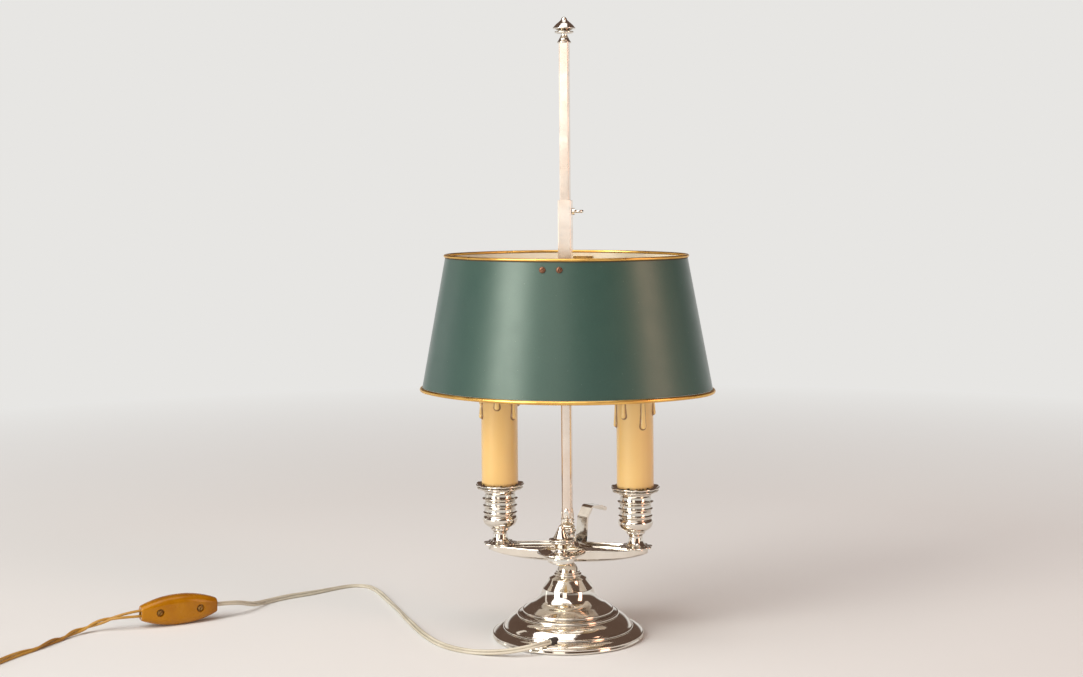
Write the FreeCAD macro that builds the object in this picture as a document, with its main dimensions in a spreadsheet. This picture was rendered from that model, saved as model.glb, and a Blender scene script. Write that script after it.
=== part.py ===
import FreeCAD, Part
import math
import os
import Sketcher

os.makedirs("parts", exist_ok=True)
doc = FreeCAD.newDocument("bouillotte_lamp")
sheet = doc.addObject("Spreadsheet::Sheet", "sizes")
vec = FreeCAD.Vector
exported = []


class Size:
    """A length with its value in millimetres and the sheet expression that gives it."""

    def __init__(self, value, text):
        self.value = value
        self.text = text

    def __add__(self, other):
        other = as_size(other)
        return Size(self.value + other.value, "(%s + %s)" % (self.text, other.text))

    def __radd__(self, other):
        return as_size(other) + self

    def __sub__(self, other):
        other = as_size(other)
        return Size(self.value - other.value, "(%s - %s)" % (self.text, other.text))

    def __rsub__(self, other):
        return as_size(other) - self

    def __mul__(self, factor):
        return Size(self.value * factor, "(%s * %.9g)" % (self.text, factor))

    __rmul__ = __mul__

    def __truediv__(self, factor):
        return self * (1.0 / factor)

    def __neg__(self):
        return self * -1


def as_size(value):
    return value if isinstance(value, Size) else Size(float(value), "%.9g" % value)


def num(value):
    return as_size(value).value


def size(name, value):
    """Write one driving dimension into the sheet under its own alias."""
    row = size.row
    size.row += 1
    sheet.set("A%d" % row, name)
    sheet.set("B%d" % row, str(value))
    sheet.setAlias("B%d" % row, name)
    return Size(float(value), "sizes." + name)


size.row = 1

# Driving dimensions: base
base_radius = size("base_radius", 67.0)
base_wall = size("base_wall", 2.0)
rim_lift = size("rim_lift", 0.4)
rim_height = size("rim_height", 3.4)
bead_radius = size("bead_radius", 0.9)
first_step_height = size("first_step_height", 8.6)
second_step_height = size("second_step_height", 21.0)
bell_height = size("bell_height", 31.5)
shoulder_height = size("shoulder_height", 50.0)
base_height = size("base_height", 54.0)
felt_thickness = size("felt_thickness", 1.0)
plate_thickness = size("plate_thickness", 1.2)
weight_bore = size("weight_bore", 24.0)
weight_height = size("weight_height", 10.0)
cord_hole_angle = size("cord_hole_angle", 265.5)
cord_hole_height = size("cord_hole_height", 9.6)
cord_exit_turn = size("cord_exit_turn", 35.0)

# Driving dimensions: centre column
tube_radius = size("tube_radius", 4.0)
tube_bore = size("tube_bore", 2.9)
tube_bottom = size("tube_bottom", 41.0)
tube_grip = size("tube_grip", 8.0)
tube_clearance = size("tube_clearance", 0.05)
washer_radius = size("washer_radius", 8.0)
washer_thickness = size("washer_thickness", 1.4)
nut_flat = size("nut_flat", 13.0)
nut_height = size("nut_height", 5.0)
knop_height = size("knop_height", 13.0)
collar_radius = size("collar_radius", 11.0)
knop_radius = size("knop_radius", 9.4)
knop_neck_radius = size("knop_neck_radius", 5.6)
foot_radius = size("foot_radius", 11.2)
foot_height = size("foot_height", 16.5)
foot_neck_radius = size("foot_neck_radius", 6.6)
rod_width = size("rod_width", 8.8)
rod_chamfer = size("rod_chamfer", 1.1)
rod_top = size("rod_top", 526.5)
tenon_radius = size("tenon_radius", 3.0)
tenon_length = size("tenon_length", 6.0)
finial_collar_height = size("finial_collar_height", 4.6)
finial_collar_radius = size("finial_collar_radius", 6.3)
finial_height = size("finial_height", 18.9)
finial_waist_radius = size("finial_waist_radius", 3.3)
finial_flange_radius = size("finial_flange_radius", 10.2)

# Driving dimensions: arm tray
arm_span = size("arm_span", 61.0)
tray_end_reach = size("tray_end_reach", 11.0)
tray_half_depth = size("tray_half_depth", 21.0)
tray_end_depth = size("tray_end_depth", 11.5)
tray_rim_width = size("tray_rim_width", 1.4)
tray_rim_height = size("tray_rim_height", 3.0)
tray_deck = size("tray_deck", 3.0)
hull_depth = size("hull_depth", 13.4)
hull_half_length = size("hull_half_length", 76.0)
hull_half_width = size("hull_half_width", 25.0)
dish_offset = size("dish_offset", 33.0)
dish_radius = size("dish_radius", 21.4)
dish_height = size("dish_height", 4.4)
dish_wall = size("dish_wall", 1.4)
lobe_radius = size("lobe_radius", 12.0)
stud_radius = size("stud_radius", 2.0)
button_flange_radius = size("button_flange_radius", 11.0)
button_stem_radius = size("button_stem_radius", 6.4)
button_height = size("button_height", 26.4)
handle_angle = size("handle_angle", 51.0)
handle_width = size("handle_width", 13.0)
handle_strap = size("handle_strap", 1.8)
handle_rise = size("handle_rise", 34.0)
handle_root = size("handle_root", 16.0)
handle_hook = size("handle_hook", 40.0)
handle_curl = size("handle_curl", 1.9)

# Driving dimensions: candle lights
nozzle_flange_radius = size("nozzle_flange_radius", 15.4)
nozzle_foot_height = size("nozzle_foot_height", 15.0)
nozzle_neck_radius = size("nozzle_neck_radius", 5.9)
cup_height = size("cup_height", 33.5)
cup_radius = size("cup_radius", 14.0)
cup_bulge_radius = size("cup_bulge_radius", 15.2)
cup_wall = size("cup_wall", 1.6)
cup_floor = size("cup_floor", 8.0)
ring_lip = size("ring_lip", 1.3)
ring_gap = size("ring_gap", 6.25)
pan_radius = size("pan_radius", 22.0)
pan_height = size("pan_height", 5.6)
pan_wall = size("pan_wall", 1.3)
nipple_radius = size("nipple_radius", 5.0)
nipple_bore = size("nipple_bore", 3.9)
locknut_flat = size("locknut_flat", 14.0)
locknut_height = size("locknut_height", 3.5)
holder_seat_height = size("holder_seat_height", 6.6)
holder_radius = size("holder_radius", 14.6)
holder_wall = size("holder_wall", 1.2)
holder_floor_height = size("holder_floor_height", 66.0)
candle_radius = size("candle_radius", 16.5)
candle_wall = size("candle_wall", 1.5)
candle_length = size("candle_length", 84.0)
drip_radius = size("drip_radius", 2.5)
cap_radius = size("cap_radius", 13.2)
cap_length = size("cap_length", 26.0)
bulb_radius = size("bulb_radius", 17.5)
bulb_length = size("bulb_length", 72.0)
wire_radius = size("wire_radius", 1.2)

# Driving dimensions: shade and its carrier
shade_bottom = size("shade_bottom", 220.5)
shade_height = size("shade_height", 116.0)
shade_bottom_long = size("shade_bottom_long", 130.0)
shade_bottom_short = size("shade_bottom_short", 91.0)
shade_top_long = size("shade_top_long", 108.6)
shade_top_short = size("shade_top_short", 76.0)
shade_wall = size("shade_wall", 0.8)
top_rim_radius = size("top_rim_radius", 1.3)
bottom_rim_radius = size("bottom_rim_radius", 1.8)
sleeve_width = size("sleeve_width", 12.0)
sleeve_bottom = size("sleeve_bottom", 323.5)
sleeve_height = size("sleeve_height", 63.5)
slide_clearance = size("slide_clearance", 0.1)
spider_width = size("spider_width", 26.0)
spider_thickness = size("spider_thickness", 2.0)
tab_height = size("tab_height", 12.0)
screw_spacing = size("screw_spacing", 14.6)
screw_radius = size("screw_radius", 1.5)
screw_head_radius = size("screw_head_radius", 2.6)
lock_height = size("lock_height", 53.5)
lock_radius = size("lock_radius", 2.0)
lock_key_thickness = size("lock_key_thickness", 2.6)
lock_key_length = size("lock_key_length", 8.0)
lock_reach = size("lock_reach", 8.5)

# Driving dimensions: cord, switch and plug
cord_width = size("cord_width", 5.0)
switch_length = size("switch_length", 69.0)
switch_tall = size("switch_tall", 27.0)
switch_thick = size("switch_thick", 18.0)
switch_end_tall = size("switch_end_tall", 13.0)
switch_end_thick = size("switch_end_thick", 12.0)
switch_wall = size("switch_wall", 2.2)
switch_screw_spacing = size("switch_screw_spacing", 37.0)
switch_screw_radius = size("switch_screw_radius", 1.5)
switch_head_radius = size("switch_head_radius", 2.8)
rocker_radius = size("rocker_radius", 8.0)
rocker_width = size("rocker_width", 7.0)
rocker_clearance = size("rocker_clearance", 0.4)
pin_radius = size("pin_radius", 1.0)
coil_radius = size("coil_radius", 34.0)
coil_pitch = size("coil_pitch", 5.6)
plug_width = size("plug_width", 30.0)
plug_thick = size("plug_thick", 16.0)
plug_length = size("plug_length", 34.0)
plug_pin_radius = size("plug_pin_radius", 2.0)
plug_pin_length = size("plug_pin_length", 19.0)
plug_pin_spacing = size("plug_pin_spacing", 18.6)
doc.recompute()

# Radii and heights that the driving dimensions give
first_step_radius = base_radius * 0.86
second_step_radius = base_radius * 0.666
bell_radius = base_radius * 0.507
shoulder_radius = base_radius * 0.269
crown_radius = base_radius * 0.179
plate_radius = base_radius - 6.0
weight_radius = base_radius - 29.0
cord_hole_depth = base_radius - 8.7
plate_top = felt_thickness + plate_thickness
knop_top = base_height + knop_height
deck_top = knop_top + 10.0
deck_bottom = deck_top - tray_deck
rim_top = deck_top + tray_rim_height
foot_bottom = deck_top + handle_strap
rod_bottom = foot_bottom + foot_height
cup_bottom = rim_top + nozzle_foot_height
pan_bottom = cup_bottom + cup_height
holder_bottom = pan_bottom + pan_wall
candle_bottom = holder_bottom + holder_seat_height
candle_top = candle_bottom + candle_length
cap_bottom = holder_bottom + holder_floor_height
spider_height = sleeve_bottom - spider_thickness
shade_top = shade_bottom + shade_height
wire_height = deck_bottom + 0.4
nipple_bottom = deck_bottom + 2.6


def bind(thing, prop, value):
    """Set a property and tie it to the sheet."""
    value = as_size(value)
    if "." not in prop:
        setattr(thing, prop, value.value)
    if "sizes." in value.text:
        thing.setExpression(prop, value.text)


def place(thing, x=0, y=0, z=0, turn=0):
    """Place a piece and tie where it stands to the sheet."""
    spin = FreeCAD.Rotation(vec(0, 0, 1), num(turn))
    thing.Placement = FreeCAD.Placement(vec(num(x), num(y), num(z)), spin)
    for axis, value in (("x", x), ("y", y), ("z", z)):
        if "sizes." in as_size(value).text:
            thing.setExpression("Placement.Base." + axis, value.text)
    return thing


def origin_plane(body, role):
    return [feature for feature in body.Origin.OriginFeatures if feature.Role == role][0]


def pin_point(sketch, rules, geo, pos, point):
    """Tie one point of a sketch to its two coordinates."""
    for kind, axis, value in (("DistanceX", -2, point[0]), ("DistanceY", -1, point[1])):
        value = as_size(value)
        if abs(value.value) < 1e-9:
            rules.append((Sketcher.Constraint("PointOnObject", geo, pos, axis), None))
        elif value.value > 0:
            rules.append((Sketcher.Constraint(kind, -1, 1, geo, pos, value.value), value.text))
        else:
            rules.append((Sketcher.Constraint(kind, geo, pos, -1, 1, -value.value), (-value).text))


def draw(sketch, outline):
    """Draw a closed outline of lines and arcs; an arc is given as (through, end)."""
    rules = []
    corners = [step[-1] if isinstance(step[0], tuple) else step for step in outline]
    spots = [vec(num(x), num(y), 0) for x, y in corners]
    ends = []
    for i, step in enumerate(outline):
        first, last = spots[i - 1], spots[i]
        if isinstance(step[0], tuple):
            middle = vec(num(step[0][0]), num(step[0][1]), 0)
            geo = sketch.addGeometry(Part.Arc(first, middle, last), False)
            forward = sketch.getPoint(geo, 1).distanceToPoint(first) < 1e-6
            ends.append((geo, 1, 2) if forward else (geo, 2, 1))
            mark = sketch.addGeometry(Part.Point(middle), True)
            rules.append((Sketcher.Constraint("PointOnObject", mark, 1, geo), None))
            pin_point(sketch, rules, mark, 1, step[0])
        else:
            ends.append((sketch.addGeometry(Part.LineSegment(first, last), False), 1, 2))
    for i, (geo, start, end) in enumerate(ends):
        after = ends[(i + 1) % len(ends)]
        rules.append((Sketcher.Constraint("Coincident", geo, end, after[0], after[1]), None))
        pin_point(sketch, rules, geo, end, corners[i])
    indexes = sketch.addConstraint([rule for rule, text in rules])
    for index, (rule, text) in zip(indexes, rules):
        if text and "sizes." in text:
            sketch.setExpression("Constraints[%d]" % index, text)


def sketched(body, plane, outline, lift=0):
    sketch = body.newObject("Sketcher::SketchObject", body.Label + "_outline")
    sketch.AttachmentSupport = [(origin_plane(body, plane), "")]
    sketch.MapMode = "FlatFace"
    sketch.AttachmentOffset = FreeCAD.Placement(vec(0, 0, num(lift)), FreeCAD.Rotation())
    if "sizes." in as_size(lift).text:
        sketch.setExpression("AttachmentOffset.Base.z", as_size(lift).text)
    draw(sketch, outline)
    return sketch


def new_body(label):
    body = doc.addObject("PartDesign::Body", label)
    body.Label = label
    return body


def turned(label, outline):
    """A piece turned about Z from an outline of (radius, height) points."""
    body = new_body(label)
    revolution = body.newObject("PartDesign::Revolution", label + "_turned")
    sketch = sketched(body, "XZ_Plane", outline)
    revolution.Profile = sketch
    revolution.ReferenceAxis = (sketch, ["V_Axis"])
    revolution.Angle = 360
    body.Tip = revolution
    sketch.Visibility = False
    return body


def prism(label, outline, length, plane="XY_Plane", lift=0, middle=False):
    """A straight bar with the given outline."""
    body = new_body(label)
    sketch = sketched(body, plane, outline, lift)
    pad = body.newObject("PartDesign::Pad", label + "_pad")
    pad.Profile = sketch
    bind(pad, "Length", length)
    pad.Midplane = middle
    body.Tip = pad
    return body


def cylinder(label, radius, bottom, top, x=0, y=0):
    rod = doc.addObject("Part::Cylinder", label)
    rod.Label = label
    bind(rod, "Radius", radius)
    bind(rod, "Height", as_size(top) - bottom)
    return place(rod, x, y, bottom)


def crossbar(label, radius, start, end, height):
    """A cylinder that lies along X."""
    rod = doc.addObject("Part::Cylinder", label)
    rod.Label = label
    bind(rod, "Radius", radius)
    bind(rod, "Height", as_size(end) - start)
    place(rod, start, 0, height)
    rod.Placement = FreeCAD.Placement(rod.Placement.Base, FreeCAD.Rotation(vec(0, 1, 0), 90))
    return rod


def box(label, low, high):
    block = doc.addObject("Part::Box", label)
    block.Label = label
    for prop, a, b in zip(("Length", "Width", "Height"), low, high):
        bind(block, prop, as_size(b) - a)
    return place(block, *low)


def combine(kind, label, first, others):
    """A boolean of pieces that are already in the document."""
    if kind == "Part::Cut" and len(others) > 1:
        others = [combine("Part::MultiFuse", label + "_tools", None, others)]
    result = doc.addObject(kind, label)
    result.Label = label
    if kind == "Part::MultiFuse":
        result.Shapes = others if first is None else [first] + others
    else:
        result.Base = first
        result.Tool = others[0]
    return result


def keep(piece):
    exported.append(piece)
    return piece


def hexagon(flat):
    corner = flat * (1 / math.sqrt(3))
    half = flat / 2
    return [(corner, 0), (corner / 2, half), (-(corner / 2), half), (-corner, 0),
            (-(corner / 2), -half), (corner / 2, -half)]


def chamfered_square(width, chamfer):
    side = width / 2
    cut = side - chamfer
    return [(side, cut), (cut, side), (-cut, side), (-side, cut),
            (-side, -cut), (-cut, -side), (cut, -side), (side, -cut)]


def shape_piece(label, shape):
    piece = doc.addObject("Part::Feature", label)
    piece.Label = label
    piece.Shape = shape
    return piece


def dome(radius, top):
    """The rounded tip of a turned piece."""
    half = math.sqrt(0.5)
    return [(radius, top - radius), ((radius * half, top - radius * (1 - half)), (0, top))]


# Base

def make_base():
    outside = [(plate_radius + 0.3, rim_lift), (base_radius - 1.0, rim_lift),
               ((base_radius - 0.2, rim_lift + 0.6), (base_radius, rim_lift + 1.8)),
               (base_radius - 0.6, rim_height)]
    outside += [((base_radius + 0.1, rim_height + bead_radius), (base_radius - 0.9, rim_height + 1.8)),
                ((base_radius - 3.2, rim_height + 3.6), (first_step_radius, first_step_height)),
                ((first_step_radius + 0.2, first_step_height + bead_radius),
                 (first_step_radius - 1.0, first_step_height + 1.9)),
                ((first_step_radius - 4.6, first_step_height + 6.6),
                 (second_step_radius, second_step_height - 1.5)),
                ((second_step_radius + 0.6, second_step_height - 0.4),
                 (second_step_radius - 1.0, second_step_height + 0.6)),
                (second_step_radius - 4.6, second_step_height + 2.0),
                ((second_step_radius - 4.0, second_step_height + 3.2),
                 (second_step_radius - 5.4, second_step_height + 4.2)),
                (bell_radius, bell_height - 2.4),
                ((bell_radius - 7.6, bell_height + 2.6), (bell_radius - 11.4, bell_height + 11.5)),
                ((shoulder_radius + 1.0, shoulder_height - 2.4), (shoulder_radius - 1.5, shoulder_height + 2.0)),
                (crown_radius, base_height),
                (tube_radius + tube_clearance, base_height)]
    inside = [(tube_radius + tube_clearance, base_height - base_wall),
              (washer_radius + 1.0, base_height - base_wall),
              (shoulder_radius - 3.4, base_height - base_wall - 1.6),
              (bell_radius - 13.2, bell_height + 9.0),
              ((bell_radius - 9.6, bell_height + 0.8), (bell_radius - 3.6, bell_height - 4.4)),
              (second_step_radius - 3.6, second_step_height - 2.4),
              (first_step_radius - 6.8, first_step_height + 3.0),
              (plate_radius - 1.8, first_step_height - 3.2),
              (plate_radius - 1.8, plate_top),
              (plate_radius + 0.3, plate_top)]
    shell = turned("base_casting", outside + inside)
    hole = cylinder("cord_hole", cord_width / 2 + 1.0, 0, 20.0)
    lying = FreeCAD.Placement(vec(-10, 0, 0), FreeCAD.Rotation(vec(0, 1, 0), 90))
    hole.Placement = cord_exit().multiply(lying)
    keep(combine("Part::Cut", "base_shell", shell, [hole]))
    make_cord_entry()
    felt = cylinder("felt_disc", plate_radius, 0, felt_thickness)
    keep(combine("Part::Cut", "felt_pad", felt, [cylinder("felt_hole", 6, -1, felt_thickness + 1)]))
    plate = cylinder("plate_disc", plate_radius, felt_thickness, plate_top)
    keep(combine("Part::Cut", "bottom_plate", plate, [cylinder("plate_hole", 6, 0, plate_top + 1)]))
    weight = cylinder("weight_disc", weight_radius, plate_top, plate_top + weight_height)
    bore = cylinder("weight_hole", weight_bore, plate_top - 1, plate_top + weight_height + 1)
    keep(combine("Part::Cut", "base_weight", weight, [bore]))
    block = box("terminal_body", (-10, -7, plate_top), (10, 7, plate_top + 9))
    holes = [cylinder("terminal_hole_%d" % i, 1.6, plate_top + 4, plate_top + 10, x, y)
             for i, (x, y) in enumerate([(-5, -4), (5, -4), (-5, 4), (5, 4)])]
    keep(combine("Part::Cut", "terminal_block", block, holes))


def cord_exit():
    """Where the cord leaves the base, with X along the cord."""
    angle = math.radians(cord_hole_angle.value)
    spot = vec(cord_hole_depth.value * math.cos(angle), cord_hole_depth.value * math.sin(angle),
               cord_hole_height.value)
    return FreeCAD.Placement(spot, FreeCAD.Rotation(vec(0, 0, 1), cord_hole_angle.value - cord_exit_turn.value))


def make_cord_entry():
    """The grommet in the side of the base and the cord's tail inside it."""
    ring = Part.makeCylinder(cord_width.value / 2 + 0.9, 9.0, vec(-6.8, 0, 0), vec(1, 0, 0))
    ring = ring.cut(Part.makeCylinder(cord_width.value / 2, 12.0, vec(-8.0, 0, 0), vec(1, 0, 0)))
    ring.Placement = cord_exit()
    keep(shape_piece("cord_grommet", ring))
    lift = plate_top.value + weight_height.value + 3.4
    start = cord_exit().multVec(vec(2.2, 0, 0))
    inside = cord_exit().multVec(vec(-11.0, 0, 0))
    tail = rounded_route([(start.x, start.y, start.z), (inside.x, inside.y, inside.z), (0, -36.5, lift),
                          (0, -25, lift - 0.2), (0, -15, lift - 4.0), (0, -8.0, lift - 7.6)])
    keep(shape_piece("cord_tail", tube_along(tail, cord_width.value / 2 - 0.3, "cord_tail")))


def ring_at(radius, bore, bottom, top, label):
    disc = cylinder(label + "_disc", radius, bottom, top)
    hole = cylinder(label + "_hole", bore, as_size(bottom) - 1, as_size(top) + 1)
    return combine("Part::Cut", label, disc, [hole])


def make_column():
    bore = tube_radius + tube_clearance
    under = base_height - base_wall
    keep(ring_at(washer_radius, bore, under - washer_thickness, under, "base_washer"))
    nut_top = under - washer_thickness
    nut = prism("base_nut_blank", hexagon(nut_flat), nut_height, lift=nut_top - nut_height)
    hole = cylinder("base_nut_hole", bore, nut_top - nut_height - 1, nut_top + 1)
    keep(combine("Part::Cut", "base_nut", nut, [hole]))
    tube = ring_at(tube_radius, tube_bore, tube_bottom, foot_bottom + tube_grip, "threaded_tube_blank")
    slot = crossbar("threaded_tube_slot", wire_radius + 0.5, -(tube_radius + 2), tube_radius + 2, wire_height)
    keep(combine("Part::Cut", "threaded_tube", tube, [slot]))
    z = base_height
    keep(turned("stem_knop", [
        (bore, z), (collar_radius + 0.4, z), ((collar_radius + 1.4, z + 0.9), (collar_radius + 0.6, z + 1.9)),
        (collar_radius - 0.4, z + 2.3), ((collar_radius, z + 2.9), (collar_radius - 0.8, z + 3.5)),
        ((knop_radius - 0.9, z + 7.4), (knop_neck_radius - 0.4, z + 11.0)),
        (knop_neck_radius + 0.6, knop_top), (bore, knop_top)]))
    z = foot_bottom
    keep(turned("rod_foot", [
        (bore, z), (foot_radius, z), (foot_radius, z + 1.6),
        ((foot_neck_radius + 1.6, z + 6.4), (foot_neck_radius, z + foot_height - 3.4)),
        ((foot_neck_radius + 1.0, z + foot_height - 2.2), (foot_neck_radius, z + foot_height - 1.0)),
        (foot_neck_radius, z + foot_height), (tenon_radius, z + foot_height),
        (tenon_radius, z + tube_grip), (bore, z + tube_grip)]))
    bar = prism("rod_bar", chamfered_square(rod_width, rod_chamfer), rod_top - rod_bottom, lift=rod_bottom)
    low = cylinder("rod_tenon_low", tenon_radius, rod_bottom - tenon_length, rod_bottom)
    high = cylinder("rod_tenon_high", tenon_radius, rod_top, rod_top + tenon_length)
    keep(combine("Part::MultiFuse", "square_rod", bar, [low, high]))
    z = rod_top
    keep(turned("finial_collar", [
        (tenon_radius, z), (finial_collar_radius - 0.6, z),
        ((finial_collar_radius, z + 0.6), (finial_collar_radius - 0.4, z + 1.4)),
        ((finial_waist_radius + 1.5, z + 3.0), (finial_waist_radius + 0.8, z + finial_collar_height)),
        (tenon_radius, z + finial_collar_height)]))
    z = rod_top + finial_collar_height
    top = rod_top + tenon_length
    flange = finial_flange_radius
    keep(turned("finial", [
        (tenon_radius, z), (finial_waist_radius + 0.8, z),
        ((finial_waist_radius - 0.1, z + 2.1), (finial_waist_radius, z + 4.3)),
        (flange - 3.4, z + 4.8), ((flange - 1.6, z + 5.4), (flange - 3.0, z + 6.1)), (flange - 5.2, z + 6.6),
        (flange - 4.0, z + 7.2), (flange - 0.7, z + 8.1), ((flange, z + 8.7), (flange - 0.5, z + 9.4)),
        ((flange - 2.5, z + 11.8), (flange - 4.8, z + 13.8))] + dome(2.6, z + finial_height)
        + [(0, top), (tenon_radius, top)]))


def tray_plan(inset):
    """The boat shaped plan of the tray, drawn in from its edge."""
    half = tray_half_depth - inset
    end_half = tray_end_depth - inset
    end = arm_span - 2.0
    tip = arm_span + tray_end_reach - inset
    return [((0, half), (-end, end_half)), ((-tip, 0), (-end, -end_half)),
            ((0, -half), (end, -end_half)), ((tip, 0), (end, end_half))]


def make_tray():
    plan = prism("tray_plan", tray_plan(0), rim_top - knop_top + 4.0, lift=knop_top - 4.0)
    hull = doc.addObject("Part::Ellipsoid", "tray_hull")
    bind(hull, "Radius1", hull_depth)
    bind(hull, "Radius2", hull_half_length)
    bind(hull, "Radius3", hull_half_width)
    place(hull, 0, 0, rim_top)
    boat = combine("Part::Common", "tray_boat", plan, [hull])
    lobe = cylinder("tray_lobe", lobe_radius, deck_bottom - 1.5, deck_top, 0, -dish_offset)
    web = box("tray_web", (-lobe_radius, -dish_offset, deck_bottom - 1.5),
              (lobe_radius, 4.0 - tray_half_depth, deck_top))
    solid = combine("Part::MultiFuse", "tray_solid", boat, [lobe, web])
    well = prism("tray_well", tray_plan(tray_rim_width), tray_rim_height + 1.0, lift=deck_top)
    ends = [cylinder("tray_well_end_%d" % i, tray_end_depth + 0.8, deck_top - 1, rim_top + 2, side * arm_span)
            for i, side in enumerate((-1, 1))]
    well = combine("Part::Cut", "tray_recess", well, ends)
    nick = cylinder("tray_nick", dish_radius + 0.3, deck_top, rim_top + 1, 0, -dish_offset)
    seat = cylinder("tray_seat", knop_neck_radius + 1.4, knop_top - 5.0, knop_top)
    bore = cylinder("tray_bore", tube_radius + tube_clearance, knop_top - 1, deck_top + 1)
    stud = cylinder("tray_stud_bore", stud_radius + 0.1, deck_bottom - 3.0, deck_top + 1, 0, -dish_offset)
    nipples = [cylinder("tray_nipple_bore_%d" % i, nipple_radius, wire_height, rim_top + 1, side * arm_span)
               for i, side in enumerate((-1, 1))]
    channel = crossbar("tray_channel", wire_radius + 0.4, -arm_span, arm_span, wire_height)
    cuts = [well, nick, seat, bore, stud, channel] + nipples
    keep(combine("Part::Cut", "arm_tray", solid, cuts))


def make_dish():
    z = deck_top
    r = dish_radius
    foot = lobe_radius - 1.0
    keep(place(turned("front_dish", [
        (stud_radius + 0.1, z), (foot, z), (foot + 1.6, z + 0.5),
        ((r - 3.6, z + 1.7), (r - 0.7, z + dish_height - 0.7)),
        ((r, z + dish_height - 0.1), (r - 1.0, z + dish_height)),
        ((r - 4.4, z + 2.5), (foot - 1.4, z + dish_wall)), (stud_radius + 0.1, z + dish_wall)]), 0, -dish_offset))
    z = deck_top + dish_wall
    r = button_flange_radius
    stem = button_stem_radius
    top = z + button_height
    keep(place(turned("front_button", [
        (stud_radius, z), (stem + 2.8, z), ((stem + 3.2, z + 0.9), (stem + 2.2, z + 1.6)),
        ((stem - 0.8, z + 4.2), (stem - 0.5, z + 8.6)), (stem + 0.2, z + 10.2), (r - 1.4, z + 11.2),
        ((r - 0.4, z + 12.0), (r - 1.2, z + 12.9)), (r - 0.8, z + 13.2), ((r, z + 13.9), (r - 0.8, z + 14.7)),
        (r - 3.6, z + 15.4), ((r - 5.6, z + 19.0), (r - 7.6, z + 23.0))] + dome(2.6, top)
        + [(0, z + 6.0), (stud_radius, z + 6.0)]), 0, -dish_offset))
    low = deck_bottom - 1.5
    stud = cylinder("button_screw_shank", stud_radius, low, z + 6.0, 0, -dish_offset)
    head = cylinder("button_screw_head", stud_radius * 2, low - 2.4, low, 0, -dish_offset)
    keep(combine("Part::MultiFuse", "button_screw", stud, [head]))


def tangent_arc(start, corner, end):
    """The arc from start to end whose two tangents meet at the corner."""
    middle = (start + end) * 0.5
    half = start.distanceToPoint(middle)
    depth = corner.distanceToPoint(middle)
    turn = 2 * math.atan2(depth, half)
    sagitta = half * math.tan(turn / 4)
    through = middle + (corner - middle) * (sagitta / depth)
    return Part.Arc(start, through, end).toShape()


def rounded_route(points, radii=None, report=None):
    """Straight runs joined by tangent arcs, as large as the two runs allow."""
    points = [vec(*point) for point in points]
    edges = []
    last = points[0]
    for i in range(1, len(points) - 1):
        before = points[i] - points[i - 1]
        after = points[i + 1] - points[i]
        turn = before.getAngle(after)
        reach = 0.45 * min(before.Length, after.Length)
        if radii:
            reach = radii * math.tan(turn / 2)
        start = points[i] - before.normalize() * reach
        end = points[i] + after.normalize() * reach
        edges.append(Part.LineSegment(last, start).toShape())
        edges.append(tangent_arc(start, points[i], end))
        if report:
            print(report, "point", i, "turn %.0f" % math.degrees(turn),
                  "radius %.0f" % (reach / math.tan(turn / 2)))
        last = end
    edges.append(Part.LineSegment(last, points[-1]).toShape())
    return Part.Wire(edges)


def tube_along(path, radius, label):
    """A round tube along a path of lines and arcs."""
    first = path.OrderedEdges[0]
    start = first.valueAt(first.FirstParameter)
    direction = first.tangentAt(first.FirstParameter)
    circle = Part.Wire([Part.Circle(start, direction, radius).toShape()])
    tube = path.makePipeShell([circle], True, False)
    expected = math.pi * radius ** 2 * path.Length
    print(label, "length %.1f" % path.Length, "volume over section times length %.4f" % (tube.Volume / expected))
    return tube


handle_bend = 3.0


def make_handle():
    z = deck_top.value + handle_strap.value / 2
    thick = handle_strap.value
    root = handle_root.value
    rise = handle_rise.value
    hook = handle_hook.value
    hook_drop = 3.4
    points = [(4.0, z), (root, z), (root + 2.4, z + rise * 0.72), (root + 8.5, z + rise),
              (hook - 4.0, z + rise - 0.6), (hook, z + rise - hook_drop)]
    path = rounded_route([(x, 0, h) for x, h in points], handle_bend)
    strap = strap_from(path, thick, handle_width.value)
    disc = Part.makeCylinder(foot_radius.value - 1.0, thick, vec(0, 0, deck_top.value))
    curl = Part.makeCylinder(handle_curl.value, handle_width.value,
                             vec(hook, -handle_width.value / 2, z + rise - hook_drop), vec(0, 1, 0))
    bore = Part.makeCylinder(tube_radius.value + tube_clearance.value, thick * 3,
                             vec(0, 0, deck_top.value - thick))
    solid = disc.fuse([strap, curl]).cut(bore).removeSplitter()
    solid.rotate(vec(0, 0, 0), vec(0, 0, 1), handle_angle.value)
    keep(shape_piece("thumb_handle", solid.Solids[0]))


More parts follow.
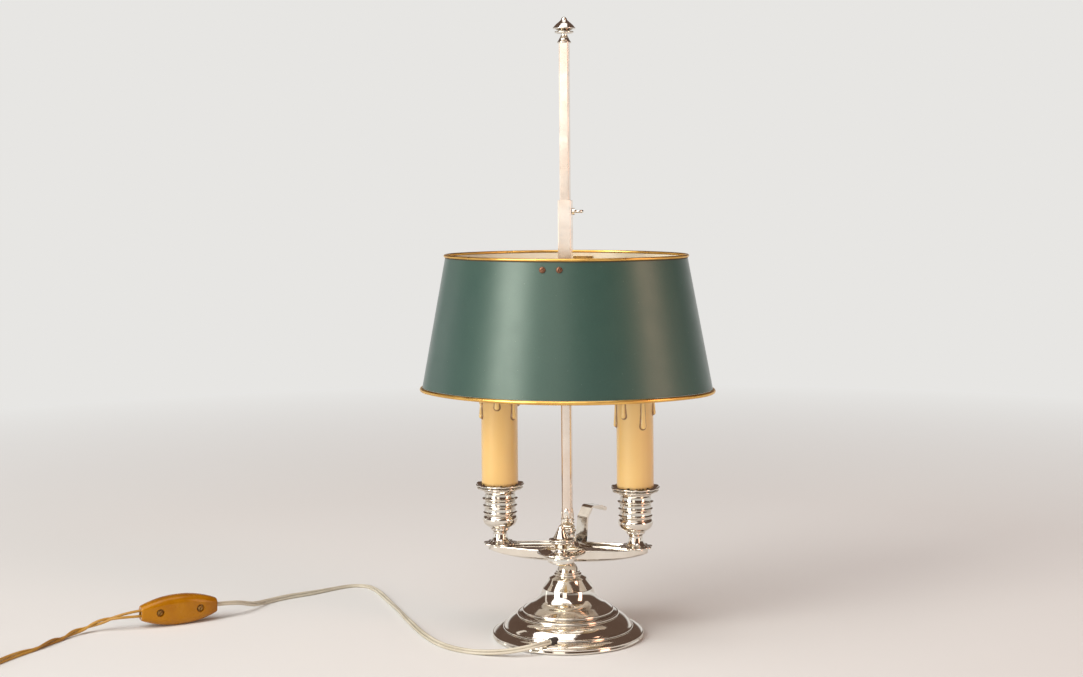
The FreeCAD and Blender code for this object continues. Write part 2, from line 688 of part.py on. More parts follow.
def strap_from(path, thickness, width):
    """A strap of even thickness whose middle line is the path."""
    pieces = []
    for edge in path.OrderedEdges:
        start = edge.valueAt(edge.FirstParameter)
        end = edge.valueAt(edge.LastParameter)
        first_side = edge.tangentAt(edge.FirstParameter).cross(vec(0, 1, 0)) * (thickness / 2)
        last_side = edge.tangentAt(edge.LastParameter).cross(vec(0, 1, 0)) * (thickness / 2)
        corners = [start + first_side, end + last_side, end - last_side, start - first_side]
        if edge.Curve.TypeId == "Part::GeomLine":
            face = Part.Face(Part.makePolygon(corners + corners[:1]))
        else:
            middle = edge.valueAt((edge.FirstParameter + edge.LastParameter) / 2)
            side = edge.tangentAt((edge.FirstParameter + edge.LastParameter) / 2).cross(vec(0, 1, 0))
            side = side * (thickness / 2)
            outer = Part.Arc(corners[0], middle + side, corners[1]).toShape()
            inner = Part.Arc(corners[2], middle - side, corners[3]).toShape()
            face = Part.Face(Part.Wire([outer, Part.makeLine(corners[1], corners[2]), inner,
                                        Part.makeLine(corners[3], corners[0])]))
        face.translate(vec(0, -width / 2, 0))
        pieces.append(face.extrude(vec(0, width, 0)))
    return pieces[0].fuse(pieces[1:])


# Candle lights
drip_angles = [(-100, 12), (-58, 22), (-22, 9), (20, 18), (62, 26), (104, 12), (150, 20), (205, 24)]


wire_bend = 2.6


def candle_outline():
    inner = candle_radius - candle_wall
    return [(inner, candle_bottom), (candle_radius, candle_bottom), (candle_radius, candle_top - 1.0),
            ((candle_radius - 0.3, candle_top - 0.3), (candle_radius - 0.8, candle_top)), (inner, candle_top)]


def make_candle(side, sign):
    at = arm_span * sign
    r = nozzle_flange_radius
    neck = nozzle_neck_radius
    z = rim_top
    keep(place(turned(side + "_nozzle_foot", [
        (nipple_radius, z), (r - 1.0, z), ((r - 0.2, z + 0.8), (r - 1.2, z + 1.5)),
        ((neck + 3.1, z + 3.0), (neck + 0.4, z + 8.2)), ((neck + 0.2, z + 10.4), (neck + 1.9, z + 12.4)),
        ((neck + 2.9, z + 13.7), (neck + 2.1, cup_bottom)), (nipple_radius, cup_bottom)]), at))
    z = cup_bottom
    outline = [(nipple_radius, z), (neck + 1.7, z), ((cup_radius - 1.7, z + 1.7), (cup_bulge_radius, z + 6.0)),
               ((cup_bulge_radius + 0.3, z + 8.2), (cup_radius, z + 10.6))]
    for i, flare in enumerate((0.0, 0.2, 0.8)):
        level = z + 13.2 + i * ring_gap
        edge = cup_radius + ring_lip + flare
        outline += [(cup_radius - 0.3, level - 2.0), (edge - 0.4, level - 0.2),
                    ((edge, level + 0.3), (edge - 0.5, level + 0.8)), (cup_radius, level + 1.3)]
    inner = cup_radius - cup_wall
    outline += [(cup_radius - 0.6, pan_bottom - 3.0), (cup_radius + 2.2, pan_bottom), (inner, pan_bottom),
                (inner, z + cup_floor), (nipple_radius, z + cup_floor)]
    keep(place(turned(side + "_nozzle_cup", outline), at))
    z = pan_bottom
    r = pan_radius
    keep(place(turned(side + "_drip_pan", [
        (nipple_radius, z), (cup_radius + 2.2, z), ((r - 3.6, z + 0.5), (r - 1.8, z + 1.5)),
        ((r - 1.1, z + 2.0), (r - 1.7, z + 2.6)), (r - 2.6, z + 3.1), (r - 0.8, z + 4.0),
        ((r, z + pan_height - 0.8), (r - 0.8, z + pan_height)),
        ((r - 2.6, z + 4.0), (cup_radius + 3.6, z + 2.6)), (cup_radius, z + pan_wall),
        (nipple_radius, z + pan_wall)]), at))
    keep(place(ring_at(nipple_radius, nipple_bore, nipple_bottom, holder_bottom + 9.0, side + "_nipple"), at))
    z = cup_bottom + cup_floor
    nut = prism(side + "_locknut_blank", hexagon(locknut_flat), locknut_height, lift=z)
    hole = cylinder(side + "_locknut_hole", nipple_radius, z - 1, z + locknut_height + 1)
    keep(place(combine("Part::Cut", side + "_locknut", nut, [hole]), at))
    z = holder_bottom
    inner = holder_radius - holder_wall
    keep(place(turned(side + "_lampholder", [
        (nipple_radius, z), (cup_radius - 0.6, z), (cup_radius - 0.6, z + 2.0),
        (candle_radius - 0.6, candle_bottom - 2.0), (candle_radius - 0.6, candle_bottom),
        (holder_radius, candle_bottom), (holder_radius, candle_top - 1.5), (inner, candle_top - 1.5),
        (inner, cap_bottom), (2.0, cap_bottom), (2.0, cap_bottom - 6.0),
        (holder_radius - 3.0, cap_bottom - 6.0), (holder_radius - 3.0, z + 10.0), (nipple_radius, z + 10.0)]), at))
    sleeve = turned(side + "_candle_tube", candle_outline())
    drips = []
    for i, (angle, drop) in enumerate(drip_angles):
        radians = math.radians(angle * sign)
        x = (candle_radius - 1.0) * math.cos(radians)
        y = (candle_radius - 1.0) * math.sin(radians)
        run = cylinder("%s_drip_run_%d" % (side, i), drip_radius * 0.72, candle_top - drop, candle_top - 2.0, x, y)
        blob = doc.addObject("Part::Sphere", "%s_drip_%d" % (side, i))
        bind(blob, "Radius", drip_radius)
        place(blob, x, y, candle_top - drop)
        drips += [run, blob]
    wax = combine("Part::MultiFuse", side + "_candle_wax", sleeve, drips)
    bore = cylinder(side + "_candle_bore", candle_radius - candle_wall, candle_bottom - 1, candle_top + 1)
    keep(place(combine("Part::Cut", side + "_candle_sleeve", wax, [bore]), at))
    z = cap_bottom
    glass_foot = cap_radius - 0.4
    keep(place(turned(side + "_bulb_cap", [
        (0, z), (4.5, z), (6.0, z + 2.5), (cap_radius - 1.0, z + 5.0), (cap_radius, z + 6.5),
        (cap_radius, z + cap_length), (0, z + cap_length)]), at))
    z = cap_bottom + cap_length
    top = z + bulb_length
    keep(place(turned(side + "_bulb_glass", [
        (0, z), (glass_foot, z), ((bulb_radius - 1.6, z + 13.0), (bulb_radius, z + 27.0)),
        ((bulb_radius - 4.4, z + 49.0), (3.0, top - 3.0))] + dome(3.0, top)[1:]), at))
    turn_x = sign * (arm_span.value - 1.0)
    inner_x = sign * 1.25
    wire = rounded_route([(inner_x, 0, plate_top.value + 9.0), (inner_x, 0, wire_height.value),
                          (turn_x, 0, wire_height.value), (turn_x, 0, cap_bottom.value - 6.0)], wire_bend)
    return tube_along(wire, wire_radius.value, side + "_wire")


# Shade and its carrier
def oval(long, short, z):
    """A four centred oval, flatter along its long sides, as one closed wire."""
    tip = 0.62 * short
    centre = long - tip
    side = (centre ** 2 + short ** 2 - tip ** 2) / (2 * (short - tip))
    share = side - tip
    ux, uy = centre / share, (side - short) / share
    touch = (centre + tip * ux, tip * uy)
    arcs = []
    spots = [(long, 0), touch, (0, short)]
    for sx, sy in ((1, 1), (-1, 1), (-1, -1), (1, -1)):
        forward = sx * sy > 0
        end_middle = ux_half(centre, tip, ux, uy)
        side_middle = side_half(short, side, ux, uy)
        first = Part.Arc(vec(sx * long, 0, z), vec(sx * end_middle[0], sy * end_middle[1], z),
                         vec(sx * touch[0], sy * touch[1], z))
        second = Part.Arc(vec(sx * touch[0], sy * touch[1], z), vec(sx * side_middle[0], sy * side_middle[1], z),
                          vec(0, sy * short, z))
        pair = [first.toShape(), second.toShape()]
        arcs += pair if forward else pair[::-1]
    return Part.Wire(Part.__sortEdges__(arcs))


def ux_half(centre, tip, ux, uy):
    angle = math.atan2(uy, ux) / 2
    return centre + tip * math.cos(angle), tip * math.sin(angle)


def side_half(short, side, ux, uy):
    angle = (math.atan2(uy, ux) + math.pi / 2) / 2
    return side * math.cos(angle), short - side + side * math.sin(angle)


def shade_short(z):
    """Half the outer depth of the shade at a height."""
    share = (z - shade_bottom.value) / shade_height.value
    return shade_bottom_short.value + (shade_top_short.value - shade_bottom_short.value) * share


def shade_space(inset):
    """The solid inside the shade's outer face, drawn in all round."""
    low = oval(shade_bottom_long.value - inset, shade_bottom_short.value - inset, shade_bottom.value)
    high = oval(shade_top_long.value - inset, shade_top_short.value - inset, shade_top.value)
    return Part.makeLoft([low, high], True, True)


def make_shade():
    low, high = shade_bottom.value, shade_top.value
    wall = shade_wall.value
    shell = shade_space(0).cut(shade_space(wall))
    for sign in (-1, 1):
        for x in (-screw_spacing.value / 2, screw_spacing.value / 2):
            shell = shell.cut(screw_line(sign, x, screw_radius.value, -8, 8))
    keep(shape_piece("shade_body", shell.Solids[0]))
    for label, long, short, radius, z in (
            ("shade_top_rim", shade_top_long, shade_top_short, top_rim_radius, high),
            ("shade_bottom_rim", shade_bottom_long, shade_bottom_short, bottom_rim_radius, low)):
        grow = radius.value - wall
        z = z + radius.value if label == "shade_top_rim" else z - radius.value
        path = oval(long.value + grow - wall / 2, short.value + grow - wall / 2, z)
        start = path.OrderedEdges[0].valueAt(path.OrderedEdges[0].FirstParameter)
        direction = path.OrderedEdges[0].tangentAt(path.OrderedEdges[0].FirstParameter)
        circle = Part.Wire([Part.Circle(start, direction, radius.value).toShape()])
        keep(shape_piece(label, path.makePipeShell([circle], True, False)))


def wall_tilt():
    return math.atan2(shade_bottom_short.value - shade_top_short.value, shade_height.value)


def screw_line(sign, x, radius, start, end):
    """A cylinder square to the shade wall at a screw, measured out from the wall's outer face."""
    z = spider_height.value + tab_height.value / 2 + 2.0
    outward = vec(0, sign * math.cos(wall_tilt()), math.sin(wall_tilt()))
    spot = vec(x, sign * shade_short(z), z)
    return Part.makeCylinder(radius, end - start, spot + outward * start, outward)


arm_width = 14.0


def make_carrier():
    bar = prism("sleeve_bar", chamfered_square(sleeve_width, rod_chamfer), sleeve_height, lift=sleeve_bottom)
    slot = rod_width + slide_clearance * 2
    hole = prism("sleeve_slot", chamfered_square(slot, rod_chamfer), sleeve_height + 2.0, lift=sleeve_bottom - 1.0)
    screw = crossbar("sleeve_screw_hole", lock_radius + 0.05, 0, sleeve_width, sleeve_bottom + lock_height)
    keep(combine("Part::Cut", "shade_sleeve", bar, [hole, screw]))
    thick = spider_thickness.value
    height = spider_height.value
    half = sleeve_width.value / 2
    tilt = wall_tilt()
    wall_gap = shade_wall.value / math.cos(tilt)
    arms = []
    for sign in (-1, 1):
        reach = shade_short(height) - wall_gap
        top_reach = shade_short(height + tab_height.value) - wall_gap
        step = thick / math.cos(tilt)
        inner_reach = shade_short(height + thick) - wall_gap - step
        tab_top = height + tab_height.value
        profile = [vec(0, 0, height), vec(0, sign * reach, height), vec(0, sign * top_reach, tab_top),
                   vec(0, sign * (top_reach - step), tab_top), vec(0, sign * inner_reach, height + thick),
                   vec(0, 0, height + thick)]
        face = Part.Face(Part.makePolygon(profile + profile[:1]))
        face.translate(vec(-spider_width.value / 2, 0, 0))
        arms.append(face.extrude(vec(spider_width.value, 0, 0)))
    strap = arms[0].fuse(arms[1])
    plan = Part.makeBox(arm_width, 400, 60, vec(-arm_width / 2, -200, height - 5))
    pads = [Part.makeBox(40, 34, 60, vec(-20, sign * 73 - 17, height - 5)) for sign in (-1, 1)]
    strap = strap.common(plan.fuse(pads))
    hub = Part.makeCylinder(half + 3.5, thick, vec(0, 0, height))
    strap = strap.fuse(hub)
    opening = Part.makeBox(slot.value, slot.value, 60, vec(-slot.value / 2, -slot.value / 2, height - 5))
    strap = strap.cut(opening)
    for sign in (-1, 1):
        for x in (-screw_spacing.value / 2, screw_spacing.value / 2):
            strap = strap.cut(screw_line(sign, x, screw_radius.value, -8, 8))
    strap = strap.common(shade_space(shade_wall.value + 0.03))
    keep(shape_piece("shade_spider", strap.removeSplitter().Solids[0]))
    screws = []
    nuts = []
    head_height = 1.2
    for sign in (-1, 1):
        for x in (-screw_spacing.value / 2, screw_spacing.value / 2):
            shank = screw_line(sign, x, screw_radius.value, -(shade_wall.value + thick + 2.6), 0)
            head = screw_line(sign, x, screw_head_radius.value, 0, head_height)
            slot_cut = Part.makeBox(6, 3, 0.6, vec(-3, -1.5, -0.3))
            slot_cut.rotate(vec(0, 0, 0), vec(0, 1, 0), 38)
            slot_cut.translate(head.CenterOfMass + vec(0, sign * 1.9, 0))
            screws.append(shank.fuse(head).cut(slot_cut).removeSplitter())
            behind = shade_wall.value + thick
            nut = screw_line(sign, x, screw_radius.value + 1.6, -(behind + 2.2), -behind)
            nuts.append(nut.cut(screw_line(sign, x, screw_radius.value, -8, 2)))
    keep(shape_piece("shade_screws", Part.makeCompound(screws)))
    keep(shape_piece("shade_nuts", Part.makeCompound(nuts)))
    tip = rod_width.value / 2 + slide_clearance.value
    face = sleeve_width.value / 2
    along = vec(1, 0, 0)
    reach = lock_reach.value
    half = lock_key_length.value / 2
    thick = lock_key_thickness.value
    shank = Part.makeCylinder(lock_radius.value, reach - tip, vec(tip, 0, lock_z), along)
    stalk = Part.makeCylinder(thick / 2 - 0.1, half, vec(reach - 0.5, 0, lock_z), along)
    neck = Part.makeCylinder(lock_radius.value + 1.0, reach - face - 0.3, vec(face + 0.3, 0, lock_z), along)
    key = Part.makeCylinder(half, thick, vec(reach + half, 0, lock_z - thick / 2), vec(0, 0, 1))
    key = key.makeChamfer(0.5, [edge for edge in key.Edges if edge.Curve.TypeId == "Part::GeomCircle"])
    keep(shape_piece("lock_screw", shank.fuse([neck, stalk, key]).removeSplitter()))


lock_z = sleeve_bottom.value + lock_height.value

# Switch on the cord
switch_centre = (-361.0, -9.0)
switch_turn = 37.0


def barrel_prism(long, end, middle, depth, axis):
    """A bar with two bowed sides; axis names the direction that it is straight along."""
    def spot(a, b):
        return vec(a, b, -depth) if axis == "z" else vec(a, -depth, b)
    edges = [Part.makeLine(spot(-long, -end), spot(-long, end)),
             Part.Arc(spot(-long, end), spot(0, middle), spot(long, end)).toShape(),
             Part.makeLine(spot(long, end), spot(long, -end)),
             Part.Arc(spot(long, -end), spot(0, -middle), spot(-long, -end)).toShape()]
    way = vec(0, 0, 2 * depth) if axis == "z" else vec(0, 2 * depth, 0)
    return Part.Face(Part.Wire(edges)).extrude(way)


def switch_place(shape):
    shape.rotate(vec(0, 0, 0), vec(0, 0, 1), switch_turn)
    shape.translate(vec(switch_centre[0], switch_centre[1], switch_tall.value / 2))
    return shape


def make_switch():
    long = switch_length.value / 2
    tall = switch_tall.value / 2
    thick = switch_thick.value / 2
    wall = switch_wall.value
    front = barrel_prism(long, switch_end_tall.value / 2, tall, 20, "y")
    crown = barrel_prism(long, switch_end_thick.value / 2, thick, 20, "z")
    body = front.common(crown)
    long_edges = [edge for edge in body.Edges if edge.Length > long * 1.9]
    body = body.makeFillet(2.4, long_edges)
    room_long = long - wall - 4
    room_thick = thick - wall - 1
    room = Part.makeBox(2 * room_long, 2 * room_thick, 16, vec(-room_long, -room_thick, -8))
    mouths = [Part.makeCylinder(cord_width.value / 2, 14, vec(sign * (long - 9), 0, 0), vec(sign, 0, 0))
              for sign in (-1, 1)]
    spacing = switch_screw_spacing.value / 2
    for x in (-spacing, spacing):
        mouths.append(Part.makeCylinder(switch_screw_radius.value, 40, vec(x, -20, 0), vec(0, 1, 0)))
        mouths.append(Part.makeCylinder(switch_head_radius.value, 12, vec(x, -thick - 9.0 + 0.2, 0), vec(0, 1, 0)))
    slot_half = rocker_radius.value
    slot_wide = rocker_width.value / 2 + rocker_clearance.value
    slot = Part.makeBox(2 * slot_half, 14, 2 * slot_wide, vec(-slot_half, 3, -slot_wide))
    shell = body.cut([room, slot] + mouths)
    pillars = []
    for x in (-spacing, spacing):
        post = Part.makeCylinder(switch_screw_radius.value + 1.8, 2 * (thick - wall),
                                 vec(x, -(thick - wall), 0), vec(0, 1, 0))
        pillars.append(post.cut(Part.makeCylinder(switch_screw_radius.value, 40, vec(x, -20, 0), vec(0, 1, 0))))
    shell = shell.fuse(pillars).cut(mouths[2:])
    front_half = Part.makeBox(200, 40, 80, vec(-100, -40, -40))
    back_half = Part.makeBox(200, 40, 80, vec(-100, 0, -40))
    keep(shape_piece("switch_front_shell", switch_place(biggest(shell.common(front_half)))))
    keep(shape_piece("switch_back_shell", switch_place(biggest(shell.common(back_half)))))
    screws = []
    for x in (-spacing, spacing):
        head_face = 3.2 - thick
        shank = Part.makeCylinder(switch_screw_radius.value, thick - 1.0, vec(x, head_face, 0), vec(0, 1, 0))
        head = Part.makeCylinder(switch_head_radius.value, 1.4, vec(x, head_face - 1.4, 0), vec(0, 1, 0))
        groove = Part.makeBox(8, 0.9, 0.8, vec(-4, head_face - 1.5, -0.4))
        groove.rotate(vec(0, 0, 0), vec(0, 1, 0), -50)
        groove.translate(vec(x, 0, 0))
        screws.append(switch_place(shank.fuse(head).cut(groove).removeSplitter()))
    keep(shape_piece("switch_screws", Part.makeCompound(screws)))
    pivot = thick - rocker_drop
    rocker = Part.makeCylinder(rocker_radius.value - 0.4, rocker_width.value,
                               vec(0, pivot, -rocker_width.value / 2), vec(0, 0, 1))
    trim = Part.makeBox(40, 20, 40, vec(-20, pivot - 20.5 - 1.5, -20))
    dent = Part.makeCylinder(14, 40, vec(0, pivot + rocker_radius.value + 11.6, -20), vec(0, 0, 1))
    rocker = rocker.cut([trim, dent, Part.makeCylinder(pin_radius.value, 40, vec(0, pivot, -20), vec(0, 0, 1))])
    rocker = biggest(rocker)
    rocker.rotate(vec(0, pivot, 0), vec(0, 0, 1), -rocker_tilt)
    keep(shape_piece("switch_rocker", switch_place(rocker)))
    pin_half = 8.0
    pin = Part.makeCylinder(pin_radius.value - 0.04, 2 * pin_half, vec(0, pivot, -pin_half), vec(0, 0, 1))
    keep(shape_piece("rocker_pin", switch_place(pin)))
    contacts = []
    for sign in (-1, 1):
        contacts.append(switch_place(Part.makeBox(5, 1.0, 6, vec(sign * 12 - 2.5, 1.2 + wall - thick, -3))))
    keep(shape_piece("switch_contacts", Part.makeCompound(contacts)))


rocker_drop = 4.5
rocker_tilt = 9.0


def biggest(shape):
    return max(shape.Solids, key=lambda solid: solid.Volume)


# Cord routes, by hand, in millimetres on the table
cord_bottom = 2.5
lamp_side_route = [(-6.0, -59.8, 9.6), (-13.5, -68.9, 9.4), (-28, -76, 7.0), (-46, -76, 4.0), (-67, -73, 2.5),
                   (-87, -66, 2.5), (-105, -52, 2.5), (-120, -33, 2.5), (-135, -9, 2.5), (-152, 24, 2.5),
                   (-174, 66, 2.5), (-199, 110, 2.5), (-213, 134, 2.5), (-226, 149.5, 2.5), (-242, 150.5, 2.5),
                   (-255, 137, 2.5), (-271, 113, 2.5), (-291, 93, 2.5), (-305, 71, 2.5), (-309, 47, 5.5),
                   (-318, 23.5, 13.5), (-335.8, 10.0, 13.5)]
plug_side_route = [(-386.2, -28.0, 13.5), (-400.0, -38.4, 13.5), (-417, -41, 9.5), (-432, -52, 5.0),
                   (-441, -73, 2.5), (-446, -101, 2.5), (-455, -130, 2.5), (-461, -157, 2.5), (-465, -184, 2.5)]
lead_bend = [(0, 18, 7.0), (3, 36, 5.0), (14, 52, 6.0), (26, 64, 8.0)]


def half_turn(start_x, radius, heading, z, climb=0.0):
    """Half a turn across the coil, as two equal arcs when it climbs to the next layer."""
    start = vec(start_x, 0, z)
    end = vec(start_x - 2 * radius * heading, 0, z + climb)
    way = vec(0, -heading, 0)
    if not climb:
        return [Part.Arc(start, (start + end) * 0.5 + way * radius, end).toShape()], end.x
    reach = start.distanceToPoint(end) / 2
    middle = (start + end) * 0.5 + way * reach
    return [tangent_arc(start, start + way * reach, middle), tangent_arc(middle, end + way * reach, end)], end.x


def coil_route(turns=5):
    """A neat coil that spirals in, climbs a layer and spirals out again."""
    pitch = coil_pitch.value
    low, high = cord_bottom, cord_bottom + pitch
    steps = [coil_radius.value - k * pitch / 2 for k in range(turns)]
    inner = coil_radius.value - turns * pitch / 2
    x = coil_radius.value
    straight = cord_width.value
    edges = [Part.makeLine(vec(x, straight, low), vec(x, 0, low))]
    heading = 1
    for radius, z, climb in ([(r, low, 0.0) for r in steps] + [(inner, low, pitch)]
                             + [(r, high, 0.0) for r in reversed(steps)]):
        arcs, x = half_turn(x, radius, heading, z, climb)
        edges += arcs
        heading = -heading
    edges.append(Part.makeLine(vec(x, 0, high), vec(x, straight, high)))
    return Part.Wire(edges)


def least_gap(path, diameter):
    """The least clear distance between turns, measured on points along the path."""
    spots = path.discretize(Distance=2.0)
    apart = int(4 * diameter / 2.0)
    gap = min(spots[i].distanceToPoint(spots[j])
              for i in range(len(spots)) for j in range(i + apart, len(spots)))
    return gap - diameter


def heading_of(first, second):
    return math.degrees(math.atan2(second[1] - first[1], second[0] - first[0]))


def make_cords():
    radius = cord_width.value / 2
    for label, points in (("cord_lamp_side", lamp_side_route), ("cord_plug_side", plug_side_route)):
        path = rounded_route(points, report=label)
        keep(shape_piece(label, tube_along(path, radius, label)))
    turn = FreeCAD.Rotation(vec(0, 0, 1), heading_of(plug_side_route[-2], plug_side_route[-1]) + 90)
    entry = turn.multVec(vec(coil_radius.value, cord_width.value, 0))
    shift = vec(*plug_side_route[-1]) - entry
    shift.z = 0
    spot = FreeCAD.Placement(shift, turn)
    route = coil_route()
    print("cord_coil least gap %.2f" % least_gap(route, cord_width.value))
    coil = tube_along(route, radius, "cord_coil")
    coil.Placement = spot
    keep(shape_piece("cord_coil", coil))
    last = route.OrderedEdges[-1]
    end = last.valueAt(last.LastParameter)
    lead = [(end.x, end.y, end.z)] + [(end.x - x, end.y + y, z) for x, y, z in lead_bend]
    path = rounded_route(lead, report="cord_plug_lead")
    tube = tube_along(path, radius, "cord_plug_lead")
    tube.Placement = spot
    keep(shape_piece("cord_plug_lead", tube))
    make_plug(spot, vec(*lead[-2]), vec(*lead[-1]))
    print("route of the coil and lead:", [tuple(round(c, 1) for c in spot.multVec(vec(*p))) for p in lead])
    print("coil centre", spot.multVec(vec(0, 0, 0)), "turned %.2f" % math.degrees(turn.Angle), turn.Axis)


def make_plug(spot, before, tip):
    """A flat two pin plug that lies on the table at the end of the cord."""
    half = plug_width.value / 2
    length = plug_length.value
    thick = plug_thick.value
    waist = cord_width.value / 2 + 2.5
    full = length * 0.62
    edges = [Part.makeLine(vec(0, waist, 0), vec(0, -waist, 0)),
             Part.Arc(vec(0, -waist, 0), vec(length * 0.36, -half * 0.8, 0), vec(full, -half, 0)).toShape(),
             Part.makeLine(vec(full, -half, 0), vec(length, -half, 0)),
             Part.makeLine(vec(length, -half, 0), vec(length, half, 0)),
             Part.makeLine(vec(length, half, 0), vec(full, half, 0)),
             Part.Arc(vec(full, half, 0), vec(length * 0.36, half * 0.8, 0), vec(0, waist, 0)).toShape()]
    body = Part.Face(Part.Wire(edges)).extrude(vec(0, 0, thick))
    rim = [edge for edge in body.Edges
           if abs(edge.BoundBox.ZLength) < 1e-6 and edge.BoundBox.XMin > -1e-6 and edge.Length > 2 * waist + 0.1]
    body = body.makeFillet(2.2, rim)
    spacing = plug_pin_spacing.value / 2
    sockets = []
    pins = []
    for y in (-spacing, spacing):
        sockets.append(Part.makeCylinder(plug_pin_radius.value, 12, vec(length - 12, y, thick / 2), vec(1, 0, 0)))
        pin = Part.makeCylinder(plug_pin_radius.value, plug_pin_length.value + 12, vec(length - 12, y, thick / 2),
                                vec(1, 0, 0))
        nose = [edge for edge in pin.Edges if edge.Curve.TypeId == "Part::GeomCircle"
                and edge.BoundBox.XMin > length + 1]
        pins.append(pin.makeFillet(1.2, nose))
    body = body.cut(sockets)
    way = tip - before
    turn = FreeCAD.Rotation(vec(0, 0, 1), math.degrees(math.atan2(way.y, way.x)))
    tip = vec(tip.x, tip.y, 0)
    place_plug = spot.multiply(FreeCAD.Placement(tip, turn))
    body.Placement = place_plug
    keep(shape_piece("plug_body", body))
    for pin in pins:
        pin.Placement = place_plug
    keep(shape_piece("plug_pins", Part.makeCompound(pins)))


make_base()
make_column()
make_tray()
make_dish()
make_handle()
wires = [make_candle("left", -1), make_candle("right", 1)]
keep(shape_piece("lamp_wires", Part.makeCompound(wires)))
make_shade()
make_carrier()
make_switch()
make_cords()
doc.recompute()

for thing in doc.Objects:
    bad = [state for state in thing.State if state in ("Invalid", "Error")]
    if bad:
        raise RuntimeError("%s is %s" % (thing.Label, bad))
for piece in exported:
    shape = piece.Shape
    if shape.isNull() or not shape.isValid() or not shape.Solids:
        raise RuntimeError("%s has no valid solid" % piece.Label)
    shape.exportStep("parts/%s.step" % piece.Label)
print("pieces", len(exported))
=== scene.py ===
import math
import bmesh
import bpy
from mathutils import Matrix, Vector, noise


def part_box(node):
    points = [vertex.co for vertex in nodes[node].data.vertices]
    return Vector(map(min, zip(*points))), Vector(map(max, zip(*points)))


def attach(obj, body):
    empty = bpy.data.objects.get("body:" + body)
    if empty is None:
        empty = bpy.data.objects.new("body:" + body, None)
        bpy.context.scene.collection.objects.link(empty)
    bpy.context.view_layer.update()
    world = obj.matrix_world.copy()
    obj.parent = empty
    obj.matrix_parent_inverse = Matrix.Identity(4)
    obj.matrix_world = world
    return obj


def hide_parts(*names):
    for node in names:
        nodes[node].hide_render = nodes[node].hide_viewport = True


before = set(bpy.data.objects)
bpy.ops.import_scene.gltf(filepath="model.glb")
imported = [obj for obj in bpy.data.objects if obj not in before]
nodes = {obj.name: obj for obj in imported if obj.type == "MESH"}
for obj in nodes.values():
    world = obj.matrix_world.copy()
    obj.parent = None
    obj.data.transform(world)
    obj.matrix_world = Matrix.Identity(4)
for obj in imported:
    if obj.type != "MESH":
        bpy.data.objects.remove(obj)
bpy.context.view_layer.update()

mm = 0.001
print("frame loaded, nodes:", len(nodes))

# camera, level, at the height and angle of the photograph
cameraFacts = {
    "place": (0.2623, -1.5672, 0.420),
    "turn": 9.5,
    "roll": -0.4,
    "lens": 59.4,
    "sensor": 36.0,
    "shift": (-0.0217, -0.162),
    "clip": (0.02, 60.0),
}


def makeCamera(facts):
    lens = bpy.data.cameras.new("photoCamera")
    lens.lens = facts["lens"]
    lens.sensor_width = facts["sensor"]
    lens.shift_x, lens.shift_y = facts["shift"]
    lens.clip_start, lens.clip_end = facts["clip"]
    camera = bpy.data.objects.new("photoCamera", lens)
    bpy.context.scene.collection.objects.link(camera)
    turns = [(facts["turn"], "Z"), (90, "X"), (facts["roll"], "Z")]
    turn, level, roll = (Matrix.Rotation(math.radians(angle), 4, axis) for angle, axis in turns)
    camera.matrix_world = Matrix.Translation(facts["place"]) @ turn @ level @ roll
    bpy.context.scene.camera = camera


makeCamera(cameraFacts)
print("camera placed")


def addNode(tree, kind, inputs=None, **settings):  # sockets are linked, plain values are set
    node = tree.nodes.new("ShaderNode" + kind)
    for label, value in settings.items():
        setattr(node, label, value)
    for label, value in (inputs or {}).items():
        if isinstance(value, bpy.types.NodeSocket):
            tree.links.new(value, node.inputs[label])
        else:
            node.inputs[label].default_value = value
    return node


def mapRange(tree, source, low, high, outLow=0.0, outHigh=1.0):
    limits = {"Value": source, "From Min": low, "From Max": high, "To Min": outLow, "To Max": outHigh}
    return addNode(tree, "MapRange", limits).outputs["Result"]


# shader groups, each built once and placed with its own values
def newGroup(name, output, **inputs):
    group = bpy.data.node_groups.new(name, "ShaderNodeTree")
    for label, value in inputs.items():
        socket = group.interface.new_socket(label, in_out="INPUT", socket_type="NodeSocketFloat")
        socket.default_value = value
    group.interface.new_socket(output, in_out="OUTPUT", socket_type="NodeSocketFloat")
    return group, group.nodes.new("NodeGroupInput").outputs


def endGroup(group, value):
    group.links.new(value, group.nodes.new("NodeGroupOutput").inputs[0])
    return group


def addCloud(group, start, vector, low, high):  # noise from low to high gives the group's Low to High
    cloud = addNode(group, "TexNoise", {"Vector": vector, "Scale": start["Scale"], "Detail": start["Detail"]})
    return endGroup(group, mapRange(group, cloud.outputs["Fac"], low, high, start["Low"], start["High"]))


def buildMottle():  # soft cloudy change between two values
    group, start = newGroup("softMottle", "Value", Scale=20.0, Detail=4.0, Low=0.0, High=1.0)
    place = addNode(group, "TexCoord").outputs["Object"]
    return addCloud(group, start, place, 0.32, 0.68)


def buildStreaks():  # long marks that run down a piece
    group, start = newGroup("downStreaks", "Value", Scale=30.0, Squeeze=0.06, Detail=5.0, Low=0.0, High=1.0)
    place = addNode(group, "TexCoord").outputs["Object"]
    squeeze = addNode(group, "CombineXYZ", {"X": 1.0, "Y": 1.0, "Z": start["Squeeze"]}).outputs["Vector"]
    stretch = addNode(group, "VectorMath", {0: place, 1: squeeze}, operation="MULTIPLY")
    return addCloud(group, start, stretch.outputs["Vector"], 0.35, 0.65)


def buildGrooves():  # dark in hollows, from the mesh's own curvature
    group, start = newGroup("grooveShade", "Mask", Open=0.5, Deep=0.42)
    shape = addNode(group, "NewGeometry").outputs["Pointiness"]
    return endGroup(group, mapRange(group, shape, start["Open"], start["Deep"]))


